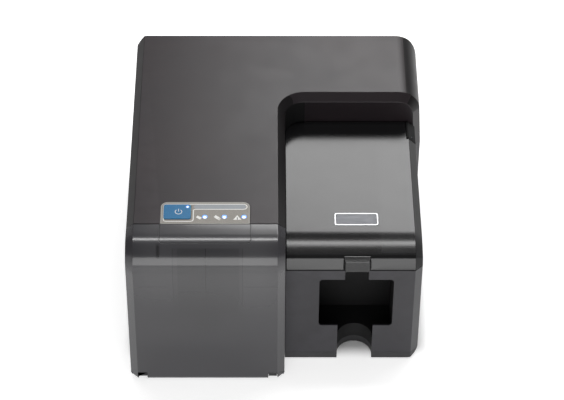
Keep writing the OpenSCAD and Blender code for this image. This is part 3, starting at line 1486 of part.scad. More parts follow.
rubber_feet();
base_pan();
lower_housing();
front_right_housing();
top_cover();
front_bulkhead();
input_door();
ink_lid();
hinge_pins();
badge_plate();
panel_bezel();
power_button();
button_spring();
indicator_lenses();
control_board();
input_hopper();
lift_plate();
lift_screw();
lift_motor();
chassis_plate();
pick_roller();
pick_gear();
pick_idler_gear();
feed_idler_gear();
feed_frame();
feed_roller();
feed_gear();
feed_pinch_roller();
feed_motor();
motor_pinion();
exit_frame();
exit_roller();
exit_pinch_roller();
exit_motor();
shuttle_frame();
shuttle_rods();
card_shuttle();
shuttle_drive_pulley();
shuttle_idler_pulley();
shuttle_belt();
shuttle_motor();
gantry_frame();
gantry_rods();
print_carriage();
ink_cartridge();
cartridge_latch();
carriage_drive_pulley();
carriage_idler_pulley();
carriage_belt();
carriage_motor();
service_station();
output_tray();
power_supply();
main_board();
fan_frame();
fan_rotor();
power_inlet();
power_switch();
rear_ports();
case_screws();
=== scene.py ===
"""Looks of a desktop card printer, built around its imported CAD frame.

The fields of each sub-assembly hold its sizes in millimetres, and its build method models
its pieces and dresses its CAD nodes.
"""
import logging
import math
from contextlib import contextmanager
from dataclasses import dataclass
from enum import Enum
from typing import Callable, Iterator, Sequence

import bpy
from mathutils import Matrix, Vector


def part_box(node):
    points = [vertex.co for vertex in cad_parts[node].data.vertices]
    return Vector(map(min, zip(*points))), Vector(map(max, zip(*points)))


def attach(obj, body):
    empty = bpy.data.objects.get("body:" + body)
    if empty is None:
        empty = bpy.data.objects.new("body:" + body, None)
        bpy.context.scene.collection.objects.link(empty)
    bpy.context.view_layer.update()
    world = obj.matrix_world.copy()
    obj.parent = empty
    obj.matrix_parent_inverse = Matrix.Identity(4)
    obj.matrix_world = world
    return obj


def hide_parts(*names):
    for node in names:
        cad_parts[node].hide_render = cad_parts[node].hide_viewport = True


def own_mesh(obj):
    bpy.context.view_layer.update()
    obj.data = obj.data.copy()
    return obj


log = logging.getLogger("card_printer")
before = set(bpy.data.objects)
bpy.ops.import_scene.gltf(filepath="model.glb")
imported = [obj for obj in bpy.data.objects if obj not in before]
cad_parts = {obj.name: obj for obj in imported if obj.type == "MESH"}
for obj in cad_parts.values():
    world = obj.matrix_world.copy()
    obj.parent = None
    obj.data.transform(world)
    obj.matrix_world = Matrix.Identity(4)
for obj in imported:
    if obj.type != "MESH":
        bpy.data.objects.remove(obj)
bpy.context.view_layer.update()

MM = 0.001
WELD = 0.000002  # metres within which double points are joined
MIDDLE = (0.3, 0.7)  # range that holds most values of a noise
LEVEL = 0.9  # least upward share of a level face's normal

Spot = tuple[float, float]
Point = tuple[float, float, float]
Area = tuple[float, float, float, float]
Colour = Point
Chooser = Callable[[bpy.types.MeshPolygon], int]  # gives the finish of a face
Piece = bpy.types.Object
Socket = bpy.types.NodeSocket


class Body(str, Enum):
    """The moving bodies that modelled pieces ride on."""

    HOUSING = "housing"
    DOOR = "door"
    LID = "lid"
    BUTTON = "button"
    FEED = "feed"
    PICK = "pick"
    EXIT = "exit"
    CARRIAGE = "carriage"


def linear(colour: Colour) -> tuple[float, float, float, float]:
    """Turns a display colour of 0 to 255 into the shader's linear colour."""
    parts = [c / 255 for c in colour]
    return (*(c / 12.92 if c <= 0.04045 else ((c + 0.055) / 1.055) ** 2.4 for c in parts), 1.0)


# ---- materials


class Nodes:
    """Adds nodes to the node tree of a world or a material."""

    def __init__(self, tree: bpy.types.NodeTree) -> None:
        """Starts on a node tree."""
        self.tree = tree

    def add(self, kind: str, inputs: dict | None = None, **settings: object) -> bpy.types.Node:
        """Adds a node, with its inputs linked or set.

        Args:
            kind: Blender's name of the node type.
            inputs: Input index or name to a socket or a plain value.
            settings: Properties of the node.
        """
        node = self.tree.nodes.new(kind)
        for key, value in settings.items():
            setattr(node, key, value)
        for key, value in (inputs or {}).items():
            self.feed(node.inputs[key], value)
        return node

    def feed(self, socket: Socket, value: object) -> None:
        """Links a socket to another one, or sets it to a plain value."""
        if isinstance(value, bpy.types.NodeSocket):
            self.tree.links.new(value, socket)
        else:
            socket.default_value = value

    def math(self, operation: str, a: object, b: object = 0.0) -> Socket:
        """Gives the result of one arithmetic step."""
        return self.add("ShaderNodeMath", {0: a, 1: b}, operation=operation).outputs[0]

    def ramp(self, value: object, low: float, high: float, to_low: float = 0.0,
             to_high: float = 1.0) -> Socket:
        """Maps a value from low..high smoothly onto to_low..to_high, flat beyond them."""
        inputs = {0: value, 1: low, 2: high, 3: to_low, 4: to_high}
        return self.add("ShaderNodeMapRange", inputs, interpolation_type="SMOOTHSTEP").outputs[0]


class Graph(Nodes):
    """Nodes of one material around its Principled shader."""

    def __init__(self, name: str) -> None:
        """Starts a material with an empty Principled shader."""
        self.material = bpy.data.materials.new(name)
        self.material.use_nodes = True
        super().__init__(self.material.node_tree)
        self.tree.nodes.clear()
        self.shader = self.add("ShaderNodeBsdfPrincipled")
        self.add("ShaderNodeOutputMaterial", {"Surface": self.shader.outputs["BSDF"]})
        coord = self.add("ShaderNodeTexCoord").outputs
        self.place, self.facing = coord["Object"], coord["Normal"]
        self.axes = self.add("ShaderNodeSeparateXYZ", {0: self.place}).outputs

    def surface(self, colour: object, roughness: object) -> None:
        """Feeds the shader's colour and roughness."""
        self.feed(self.shader.inputs["Base Color"], colour)
        self.feed(self.shader.inputs["Roughness"], roughness)

    def fixed(self, **values: object) -> None:
        """Sets constants on the shader's own sockets, named with _ for a space."""
        for key, value in values.items():
            self.shader.inputs[key.replace("_", " ")].default_value = value

    def emboss(self, height: object, depth: float) -> None:
        """Feeds the shader's normal with a bump of that depth in metres."""
        node = self.add("ShaderNodeBump", {"Height": height, "Strength": 1.0, "Distance": depth})
        self.feed(self.shader.inputs["Normal"], node.outputs[0])

    def noise(self, scale: float, detail: float = 3.0, stretch: Point = (1, 1, 1)) -> Socket:
        """Gives noise in the piece's own space, stretched along its axes where asked."""
        place = self.place
        if stretch != (1, 1, 1):
            place = self.add("ShaderNodeVectorMath", {0: place, 1: stretch},
                             operation="MULTIPLY").outputs[0]
        inputs = {"Vector": place, "Scale": scale, "Detail": detail}
        return self.add("ShaderNodeTexNoise", inputs).outputs["Fac"]

    def blend(self, share: object, a: object, b: object) -> Socket:
        """Mixes two colours by a share."""
        node = self.add("ShaderNodeMix", data_type="RGBA")
        for index, value in ((0, share), (6, a), (7, b)):
            self.feed(node.inputs[index], value)
        return node.outputs[2]

    def window(self, u: object, v: object, area: Area, soft: float) -> Socket:
        """Gives 1 inside a rectangle and 0 outside, with soft edges.

        Args:
            u: Coordinate across the rectangle.
            v: Coordinate along it.
            area: Its limits u0, v0, u1, v1 in millimetres.
            soft: Width of the soft edge in millimetres.
        """
        u0, v0, u1, v1 = (x * MM for x in area)
        s = soft * MM / 2
        parts = [self.ramp(u, u0 - s, u0 + s), self.ramp(u, u1 - s, u1 + s, 1, 0),
                 self.ramp(v, v0 - s, v0 + s), self.ramp(v, v1 - s, v1 + s, 1, 0)]
        result = parts[0]
        for part in parts[1:]:
            result = self.math("MULTIPLY", result, part)
        return result


@dataclass(frozen=True)
class Finish:
    """A surface with a name and a main colour, which makes its own material."""

    name: str
    colour: Colour

    def material(self) -> bpy.types.Material:
        """Gives the material, which is built when it is first asked for."""
        if self.name not in bpy.data.materials:
            self.draw(Graph(self.name))
        return bpy.data.materials[self.name]

    def draw(self, g: Graph) -> None:
        """Sets the shader's colour, roughness and bump."""
        raise NotImplementedError

    def shade(self, factor: float, lift: float = 0.0, limit: float = math.inf) -> tuple:
        """Gives the main colour times a factor, raised by a lift and kept under a limit."""
        return linear(tuple(min(c * factor + lift, limit) for c in self.colour))


@dataclass(frozen=True)
class Ghost:
    """A shape painted faintly on a smoked cover where the inside shows through: painted shade, or
    painted light where shade is below 0.
    """

    area: Area
    shade: float
    soft: float = 1.0


@dataclass(frozen=True)
class Plastic(Finish):
    """Moulded plastic with a spark-eroded grain, slow colour drift, rubbed edges and painted
    see-through ghosts.

    Attributes:
        drift, rough: Colour that the main one drifts to, and the middle of its roughness.
        grain: Depth of the grain in metres.
        wear, coat: How pale its edges are rubbed, and the share of its clear coat.
        ior: Index of refraction, which sets how much it mirrors.
        ghosts, upright: What shows through it, painted into its colour as shade and light, and
            whether that lies on an upright face.
    """

    drift: Colour
    rough: float
    grain: float = 0.00002
    wear: float = 0.25
    coat: float = 0.0
    ior: float = 1.5
    ghosts: tuple[Ghost, ...] = ()
    upright: bool = False

    def draw(self, g: Graph) -> None:
        """Sets the colour with its drift, specks, rubbed edges and painted ghosts of shade and
        light, and the grain.
        """
        tone = g.blend(g.ramp(g.noise(7.0, 2.0), *MIDDLE), linear(self.colour), linear(self.drift))
        speck = g.ramp(g.noise(900.0, 1.0), 0.35, 0.75, to_high=0.18)
        tone = g.blend(speck, tone, self.shade(1.5))
        if self.wear:
            tone = self.rubbed(g, tone)
        if self.ghosts:
            tone = self.painted_ghosts(g, tone)
        g.surface(tone, g.ramp(g.noise(35.0, 4.0), *MIDDLE, self.rough * 0.96, self.rough * 1.05))
        g.fixed(IOR=self.ior, Coat_Weight=self.coat, Coat_Roughness=0.08)
        g.emboss(g.noise(2600.0, 2.0), self.grain)

    def rubbed(self, g: Graph, tone: Socket) -> Socket:
        """Adds the pale rubbed edges to a tone."""
        edge = g.add("ShaderNodeNewGeometry").outputs["Pointiness"]
        patches = g.ramp(g.noise(60.0), 0.3, 0.6, to_low=0.3)
        rub = g.math("MULTIPLY", g.ramp(edge, 0.53, 0.62), patches)
        return g.blend(g.math("MULTIPLY", rub, self.wear), tone, self.shade(2.2, 30, 235))

    def painted_ghosts(self, g: Graph, tone: Socket) -> Socket:
        """Paints the ghosts into a tone as painted shade and painted light, on the faces that look
        outwards.
        """
        across, along = g.axes["X"], g.axes["Z" if self.upright else "Y"]
        aim = (0.0, -1.0, 0.5) if self.upright else (0.0, -0.2, 1.0)
        facing = g.add("ShaderNodeVectorMath", {0: g.facing, 1: aim}, operation="DOT_PRODUCT")
        outer = g.ramp(facing.outputs["Value"], 0.2, 0.4)
        for ghost in self.ghosts:
            mask = g.math("MULTIPLY", g.window(across, along, ghost.area, ghost.soft), outer)
            # painted shade mixes towards black, painted light towards mid grey
            ink = (0, 0, 0, 1) if ghost.shade > 0 else (0.5, 0.5, 0.5, 1)
            tone = g.blend(g.math("MULTIPLY", mask, abs(ghost.shade)), tone, ink)
        return tone


@dataclass(frozen=True)
class Metal(Finish):
    """Bare metal with dull spots, and streaks that are stretched along X, Y and Z."""

    rough: float
    streak: Point = (1.0, 1.0, 1.0)
    spots: float = 0.3

    def draw(self, g: Graph) -> None:
        """Sets the colour with its dull spots, and the streaks."""
        lines = g.noise(420.0, 4.0, self.streak)
        dull = g.ramp(g.noise(45.0, 5.0), 0.45, 0.75, to_high=self.spots)
        tone = g.blend(dull, linear(self.colour), self.shade(0.72))
        tone = g.blend(g.ramp(lines, *MIDDLE, to_high=0.3), tone, self.shade(1.12, limit=250))
        g.surface(tone, g.ramp(lines, 0.2, 0.8, self.rough * 0.8, self.rough * 1.3))
        g.fixed(Metallic=1.0)
        g.emboss(lines, 0.000006)


@dataclass(frozen=True)
class Rubber(Finish):
    """Matt rubber with dust in its grain, which is finer where its face is ground."""

    ground: float = 900.0

    def draw(self, g: Graph) -> None:
        """Sets the colour with its dust, and the grain."""
        dust = g.ramp(g.noise(120.0, 5.0), 0.45, 0.8, to_high=0.35)
        tone = g.blend(dust, linear(self.colour), self.shade(1.7, 8))
        g.surface(tone, g.ramp(g.noise(80.0), *MIDDLE, 0.7, 0.88))
        g.emboss(g.noise(self.ground, 3.0), 0.00006)


@dataclass(frozen=True)
class Board(Finish):
    """Circuit board lacquer over copper tracks, with bright pads."""

    track: Colour = (44, 118, 70)
    pad: Colour = (196, 190, 170)

    def draw(self, g: Graph) -> None:
        """Sets the colour with its tracks and pads, and the bump of the tracks."""
        cells = g.add("ShaderNodeTexBrick", {"Vector": g.place, "Scale": 260.0,
                                             "Mortar Size": 0.11, "Mortar Smooth": 0.2})
        broken = g.ramp(g.noise(140.0, 2.0), 0.47, 0.53)
        track = g.math("MULTIPLY", cells.outputs["Fac"], broken)
        tone = g.blend(track, linear(self.colour), linear(self.track))
        dots = g.add("ShaderNodeTexVoronoi", {"Vector": g.place, "Scale": 230.0})
        pad = g.math("MULTIPLY", g.ramp(dots.outputs["Distance"], 0.14, 0.2, 1, 0),
                     g.ramp(g.noise(60.0, 1.0), 0.5, 0.56))
        g.surface(g.blend(pad, tone, linear(self.pad)), g.ramp(track, 0, 1, 0.42, 0.3))
        g.fixed(Coat_Weight=0.3, Coat_Roughness=0.2)
        g.emboss(track, 0.00003)


@dataclass(frozen=True)
class Ink(Finish):
    """Screen print, a little uneven in its cover."""

    def draw(self, g: Graph) -> None:
        """Sets the colour with its uneven cover, and a fine bump."""
        cover = g.ramp(g.noise(700.0, 3.0), *MIDDLE, to_high=0.2)
        tone = g.blend(cover, linear(self.colour), self.shade(0.86))
        g.surface(tone, g.ramp(g.noise(200.0), *MIDDLE, 0.4, 0.55))
        g.emboss(g.noise(2200.0, 2.0), 0.00001)


@dataclass(frozen=True)
class Lamp(Finish):
    """Lens over small lit lamps, with centres and a radius in millimetres, pale in the core."""

    centres: tuple[Spot, ...]
    radius: float
    glow: float = 0.7
    core: tuple[float, ...] = (0.92, 0.97, 1.0, 1.0)

    def draw(self, g: Graph) -> None:
        """Sets the colour and light by the distance to the nearest lamp."""
        near: object = 1.0
        for x, y in self.centres:
            d = g.math("POWER", g.math("SUBTRACT", g.axes["X"], x * MM), 2.0)
            e = g.math("POWER", g.math("SUBTRACT", g.axes["Y"], y * MM), 2.0)
            near = g.math("MINIMUM", near, g.math("SQRT", g.math("ADD", d, e)))
        lit = g.ramp(near, self.radius * MM * 0.25, self.radius * MM, 1.0, 0.0)
        tone = g.blend(lit, linear(self.colour), self.core)
        tone = g.blend(g.ramp(g.noise(500.0), 0.4, 0.7, to_high=0.1), tone, linear(self.colour))
        g.surface(tone, g.ramp(g.noise(90.0), *MIDDLE, 0.12, 0.2))
        g.feed(g.shader.inputs["Emission Color"], tone)
        g.fixed(Emission_Strength=self.glow, Coat_Weight=0.5)
        g.emboss(g.noise(1200.0), 0.000004)


# Painted see-through shade and light on the smoked covers: X and Z on the door's face, X and Y on
# the lid; the dark ones paint the inner shapes, seams and slots
DOOR_GHOSTS = (
    # painted light: the door's face paler towards its top, and a little more on its right part
    Ghost((-176, 146, 6, 300), -0.07, 70),
    Ghost((-60, 110, 6, 300), -0.02, 60),
    Ghost((-123.3, 79.5, -42.2, 212), 0.10, 2.5),
    Ghost((-118, 117, -46, 212), 0.18, 2),
    Ghost((-97.4, 88, -68.5, 117), 0.20, 3),
    Ghost((-85.5, 86.4, -84.7, 212), 0.55, 0.6),
    Ghost((-124, 79, -123.2, 212), 0.35, 0.8),
    Ghost((-42.4, 79, -41.6, 212), 0.35, 0.8),
    Ghost((-124, 78.8, -41.6, 79.8), 0.35, 1),
    Ghost((-169, 163.5, -129, 164.3), 0.45, 0.7),
    Ghost((-41, 163.5, 6.4, 164.3), 0.45, 0.7),
    Ghost((-142.4, 204, -138.8, 214.5), 0.6, 3),
    Ghost((-167, 7.4, -156.5, 8.8), 0.7, 0.6),
    Ghost((-16, 7.4, -4, 8.8), 0.7, 0.6),
)
LID_GHOSTS = (
    # painted reflection: the lid paler on its right part and along its front face
    Ghost((121.8, -150, 180, 36), -0.02, 1),
    Ghost((0, -170, 180, -156), -0.02, 2),
    Ghost((60, -40.4, 143, 36), 0.10, 1.5),
    Ghost((59.2, -150, 59.9, 36), 0.30, 0.6),
    Ghost((121.2, -150, 121.8, 36), 0.22, 0.6),
    Ghost((16.9, -125, 17.5, 50), 0.30, 0.6),
)

FINE, SATIN, COARSE = 0.000002, 0.000008, 0.00003

COVER = Plastic("cover_satin", (34, 29, 32), (40, 32, 34), 0.33, grain=SATIN, ior=1.46)
# Copies of the cover's and the lid's finishes that mirror less, the cover's one darker too, for
# their slanted flanks: painted shade
COVER_FLANK_SHADE = Plastic("cover_flank_shade", (20, 18, 19), (24, 21, 22), 0.4, grain=SATIN, ior=1.32)
LID_FLANK_SHADE = Plastic("lid_flank_shade", (20, 20, 21), (23, 23, 24), 0.3, grain=FINE, ior=1.32)
HOUSING = Plastic("housing_grained", (33, 32, 36), (37, 36, 40), 0.36, ior=1.46)
PAN = Plastic("pan_grained", (30, 30, 32), (34, 34, 36), 0.5, grain=COARSE)
INNER = Plastic("inner_matt", (7, 7, 8), (10, 10, 11), 0.7, grain=COARSE, wear=0.05, ior=1.38)
DOOR_SMOKE = Plastic("door_smoked", (27, 26, 32), (31, 29, 34), 0.22, grain=FINE, wear=0.5,
                     coat=0.35, ior=1.55, ghosts=DOOR_GHOSTS, upright=True)
LID_SMOKE = Plastic("lid_smoked", (17, 17, 18), (20, 19, 20), 0.18, grain=FINE, wear=0.5,
                    ior=1.53, ghosts=LID_GHOSTS)
PANEL = Plastic("panel_warm_grey", (132, 128, 121), (138, 133, 126), 0.45, grain=0.00001,
                wear=0.1)
BUTTON_BLUE = Plastic("button_blue", (6, 94, 142), (8, 100, 148), 0.3, grain=0.000003, wear=0.2)
BLACK = Plastic("black_moulded", (22, 22, 24), (27, 27, 29), 0.42)
WHITE = Plastic("slide_white", (214, 213, 206), (205, 203, 195), 0.4, wear=0.0)
GEAR = Plastic("gear_natural", (216, 211, 196), (206, 200, 184), 0.42, wear=0.0)
GREEN = Plastic("latch_green", (38, 120, 72), (46, 128, 80), 0.35, wear=0.2)
CYAN = Plastic("cartridge_label", (60, 140, 180), (70, 150, 188), 0.4, wear=0.0)
CAN = Plastic("motor_black", (52, 52, 55), (58, 58, 60), 0.35, grain=0.00001)
SCREW = Metal("screw_blackened", (70, 70, 74), 0.4)
SHEET = Metal("sheet_zinc", (176, 179, 184), 0.38, streak=(1, 0.12, 1))
SHAFT = Metal("shaft_ground", (196, 197, 202), 0.22, streak=(0.2, 1, 1), spots=0.1)
ROD = Metal("rod_ground", (204, 205, 210), 0.18, streak=(1, 0.2, 1), spots=0.1)
BRASS = Metal("pinion_brass", (206, 170, 92), 0.3)
BADGE = Metal("badge_rim", (196, 197, 200), 0.28, streak=(0.15, 1, 1), spots=0.05)
BADGE_FIELD = Metal("badge_field", (104, 105, 108), 0.4, streak=(0.15, 1, 1), spots=0.1)
FEET = Rubber("feet_rubber", (30, 30, 31))
ROLL = Rubber("roller_rubber_ground", (40, 40, 42), 1500.0)
BELT = Rubber("belt_rubber", (28, 28, 29), 2000.0)
BOARD = Board("board_lacquer", (18, 74, 42))
# a dark bead and a pale bead that paint the shade in the tongue's groove and the highlight on its
# edge
GROOVE_SHADE = Plastic("groove_shade", (14, 14, 15), (17, 17, 18), 0.5, wear=0.0)
EDGE_LIGHT = Plastic("edge_sheen", (86, 85, 88), (92, 90, 93), 0.3, wear=0.0)
WHITE_INK = Ink("white_print", (232, 231, 227))
STRIP = Ink("strip_print", (150, 155, 160))
GREY_INK = Ink("pale_print", (176, 175, 170))
DARK_INK = Ink("dark_print", (58, 58, 60))
LENS_BLUE = (70, 132, 226)


# ---- modelling


def alone(piece: Piece) -> None:
    """Selects one piece only and makes it the active one."""
    bpy.ops.object.select_all(action="DESELECT")
    bpy.context.view_layer.objects.active = piece
    piece.select_set(True)


@contextmanager
def editing(piece: Piece) -> Iterator[None]:
    """Opens one piece alone in edit mode, with all of it selected."""
    alone(piece)
    bpy.ops.object.mode_set(mode="EDIT")
    bpy.ops.mesh.select_all(action="SELECT")
    yield
    bpy.ops.object.mode_set(mode="OBJECT")
    piece.select_set(False)


def linked(name: str, data: bpy.types.ID) -> Piece:
    """Puts a mesh, curve, camera or lamp into the scene."""
    piece = bpy.data.objects.new(name, data)
    bpy.context.scene.collection.objects.link(piece)
    return piece


def modify(piece: Piece, kind: str, **settings: object) -> None:
    """Adds a modifier to a piece and applies it."""
    alone(piece)
    modifier = piece.modifiers.new(kind.lower(), kind)
    for key, value in settings.items():
        setattr(modifier, key, value)
    bpy.ops.object.modifier_apply(modifier=modifier.name)
    piece.select_set(False)


def smooth(piece: Piece, angle: float = 32.0) -> None:
    """Shades a piece smooth up to an angle, with flat faces kept flat."""
    alone(piece)
    bpy.ops.object.shade_smooth_by_angle(angle=math.radians(angle), keep_sharp_edges=False)
    modify(piece, "WEIGHTED_NORMAL", keep_sharp=True, weight=80)


def settled(piece: Piece, name: str) -> Piece:
    """Names a new piece, moves its place into its mesh and shades it smooth."""
    piece.name = piece.data.name = name
    alone(piece)
    bpy.ops.object.transform_apply(location=True, rotation=True, scale=True)
    smooth(piece)
    return piece


def paint(piece: Piece, *kinds: Finish, chooser: Chooser | None = None) -> Piece:
    """Gives a piece its finishes, one for all or one per face by a chooser."""
    piece.data.materials.clear()
    for kind in kinds:
        piece.data.materials.append(kind.material())
    for face in piece.data.polygons:
        face.material_index = chooser(face) if chooser else 0
    return piece


def place(piece: Piece, body: Body = Body.HOUSING, slot: str | None = None) -> Piece:
    """Puts a piece on its body and reports it."""
    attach(piece, body.value)
    log.info("%s: %d faces on %s", piece.name, len(piece.data.polygons), body.value)
    return piece


def thicken(height: float) -> None:
    """Raises the flat faces that are being edited to a closed plate, in millimetres."""
    bpy.ops.mesh.select_all(action="SELECT")
    bpy.ops.mesh.extrude_region_move(TRANSFORM_OT_translate={"value": (0, 0, height * MM)})
    bpy.ops.mesh.select_all(action="SELECT")
    bpy.ops.mesh.normals_make_consistent(inside=False)


def slab(name: str, centre: Point, size: Point, corner: float) -> Piece:
    """Models an upright slab with round corners.

    Args:
        name: Name of the piece.
        centre: Middle of its foot in millimetres.
        size: Width, depth and height in millimetres.
        corner: Corner radius in plan.

    Returns:
        The new piece.
    """
    bpy.ops.mesh.primitive_plane_add(size=1, location=Vector(centre) * MM)
    piece = bpy.context.object
    with editing(piece):
        bpy.ops.transform.resize(value=(size[0] * MM, size[1] * MM, 1))
        bpy.ops.mesh.bevel(offset=corner * MM, segments=6, affect="VERTICES")
        thicken(size[2])
    return settled(piece, name)


def disc(name: str, centre: Point, radius: float, depth: float, rim: float, steps: int) -> Piece:
    """Models an upright disc with rounded rims.

    Args:
        name: Name of the piece.
        centre: Its middle in millimetres.
        radius: Its radius.
        depth: Its height.
        rim: Radius of the rims.
        steps: Sides round its axis.

    Returns:
        The new piece.
    """
    bpy.ops.mesh.primitive_cylinder_add(vertices=steps, radius=radius * MM, depth=depth * MM,
                                        location=Vector(centre) * MM)
    piece = bpy.context.object
    with editing(piece):
        bpy.ops.mesh.select_all(action="DESELECT")
        bpy.ops.object.mode_set(mode="OBJECT")
        for face in piece.data.polygons:
            face.select = len(face.vertices) > 4
        bpy.ops.object.mode_set(mode="EDIT")
        bpy.ops.mesh.select_mode(type="FACE")
        bpy.ops.mesh.region_to_loop()
        bpy.ops.mesh.bevel(offset=rim * MM, segments=2, affect="EDGES")
    return settled(piece, name)


def bow(centre: Spot, radius: float, start: float, turn: float, steps: int = 8) -> list[Spot]:
    """Gives points along an arc, from an angle in degrees and over a turn."""
    angles = [math.radians(start + turn * n / steps) for n in range(steps + 1)]
    return [(centre[0] + radius * math.cos(a), centre[1] + radius * math.sin(a)) for a in angles]


def plate(name: str, points: Sequence[Spot], z: float, height: float,
          faces: Sequence[Sequence[int]] | None = None) -> Piece:
    """Models a flat plate from points in plan.

    Args:
        name: Name of the piece.
        points: Its points in millimetres.
        z: Height of its foot.
        height: Its thickness.
        faces: Its faces as indices of points, or None for one face round all of them.

    Returns:
        The new piece.
    """
    mesh = bpy.data.meshes.new(name)
    mesh.from_pydata([(x * MM, y * MM, z * MM) for x, y in points], [],
                     faces or [list(range(len(points)))])
    piece = linked(name, mesh)
    with editing(piece):
        thicken(height)
    return piece


def band(name: str, path: Sequence[Spot], z: float, line: float, height: float = 0.06) -> Piece:
    """Models a printed line: a flat band of one width along a closed path in plan.

    Args:
        name: Name of the piece.
        path: Points of its middle line, counter-clockwise, in millimetres.
        z: Height of its foot.
        line: Width of the line.
        height: Thickness of the print.

    Returns:
        The new piece.
    """
    inner, outer = [], []
    for n, (x, y) in enumerate(path):
        before, after = Vector(path[n - 1]), Vector(path[(n + 1) % len(path)])
        a, b = (Vector((x, y)) - before).normalized(), (after - Vector((x, y))).normalized()
        side = Vector((a.y + b.y, -a.x - b.x)).normalized()
        side /= max(side.dot(Vector((a.y, -a.x))), 0.5)  # a sharp corner stays short
        outer.append((x + side.x * line / 2, y + side.y * line / 2))
        inner.append((x - side.x * line / 2, y - side.y * line / 2))
    count = len(path)
    faces = [(n, (n + 1) % count, (n + 1) % count + count, n + count) for n in range(count)]
    return plate(name, inner + outer, z, height, faces)


def tube(name: str, path: Sequence[Point], radius: float) -> Piece:
    """Sweeps a thin round bead along a path of points in millimetres."""
    curve = bpy.data.curves.new(name, "CURVE")
    curve.dimensions = "3D"
    spline = curve.splines.new("POLY")
    spline.points.add(len(path) - 1)
    for point, spot in zip(spline.points, path):
        point.co = (*[c * MM for c in spot], 1)
    curve.bevel_depth = radius * MM
    curve.bevel_resolution = 3
    curve.use_fill_caps = True
    alone(linked(name, curve))
    bpy.ops.object.convert(target="MESH")
    piece = bpy.context.object
    with editing(piece):
        bpy.ops.mesh.remove_doubles(threshold=WELD / 2)
        bpy.ops.mesh.normals_make_consistent(inside=False)
    piece.name = piece.data.name = name
    smooth(piece, 60)
    return piece


def fuse(name: str, pieces: Sequence[Piece]) -> Piece:
    """Joins several pieces into one mesh, which keeps the finish of each."""
    bpy.ops.object.select_all(action="DESELECT")
    for piece in pieces:
        piece.select_set(True)
    bpy.context.view_layer.objects.active = pieces[0]
    bpy.ops.object.join()
    joined = bpy.context.object
    joined.name = joined.data.name = name
    joined.select_set(False)
    return joined


def copied(node: str, name: str, flat: float = 0.0) -> Piece:
    """Copies a CAD node's mesh, with faces joined up to an angle in degrees."""
    piece = linked(name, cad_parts[node].data.copy())
    with editing(piece):
        bpy.ops.mesh.remove_doubles(threshold=WELD)
        if flat:
            bpy.ops.mesh.dissolve_limited(angle_limit=math.radians(flat))
    alone(piece)
    bpy.ops.mesh.customdata_custom_splitnormals_clear()
    return piece


def eased(node: str, width: float, *kinds: Finish, slot: str, body: Body = Body.HOUSING,
          chooser: Chooser | None = None) -> None:
    """Models a CAD node again with its sharp moulding edges eased.

    Args:
        node: CAD node that the piece stands for.
        width: Width of the eased edges in millimetres.
        kinds: Its finishes.
        slot: The record's material slot; not used.
        body: Body that it rides on.
        chooser: Gives the finish of a face, where there are several.
    """
    piece = copied(node, node + "_moulded", flat=0.3)
    modify(piece, "BEVEL", width=width * MM, segments=2, limit_method="ANGLE",
           angle_limit=math.radians(30), use_clamp_overlap=False, miter_outer="MITER_SHARP",
           loop_slide=False)
    smooth(piece)
    paint(piece, *kinds, chooser=chooser)
    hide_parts(node)
    place(piece, body, slot)


def parted(node: str, body: Body, slot: str, chooser: Callable[[Point], int],
           *kinds: Finish) -> Piece:
    """Models a CAD node again in its own shape, with a finish for each of its parts.

    Args:
        node: CAD node that the piece stands for.
        body: Body that it rides on.
        slot: The record's material slot; not used.
        chooser: Gives the finish at a corner of a face, which takes its highest one.
        kinds: Its finishes.

    Returns:
        The new piece.
    """
    piece = copied(node, node + "_made")
    smooth(piece)
    corners = [v.co / MM for v in piece.data.vertices]
    paint(piece, *kinds, chooser=lambda f: max(chooser(tuple(corners[v])) for v in f.vertices))
    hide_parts(node)
    return place(piece, body, slot)


def dress(finish: Finish, *nodes: str) -> None:
    """Gives CAD nodes that stay as they are a finish."""
    for node in nodes:
        for material_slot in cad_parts[node].material_slots:
            material_slot.material = finish.material()
        log.info("%s dressed with %s", node, finish.name)


# ---- studio


@dataclass(frozen=True)
class SoftBox:
    """A rectangular lamp, in metres and watts."""

    name: str
    at: Point
    target: Point
    size: Spot
    power: float

    def hang(self) -> None:
        """Puts the lamp into the scene, facing its target."""
        data = bpy.data.lights.new(self.name, "AREA")
        data.shape = "RECTANGLE"
        data.size, data.size_y = self.size
        data.energy = self.power
        lamp = linked(self.name, data)
        lamp.location = self.at
        aim = Vector(self.target) - Vector(self.at)
        lamp.rotation_euler = aim.to_track_quat("-Z", "Y").to_euler()


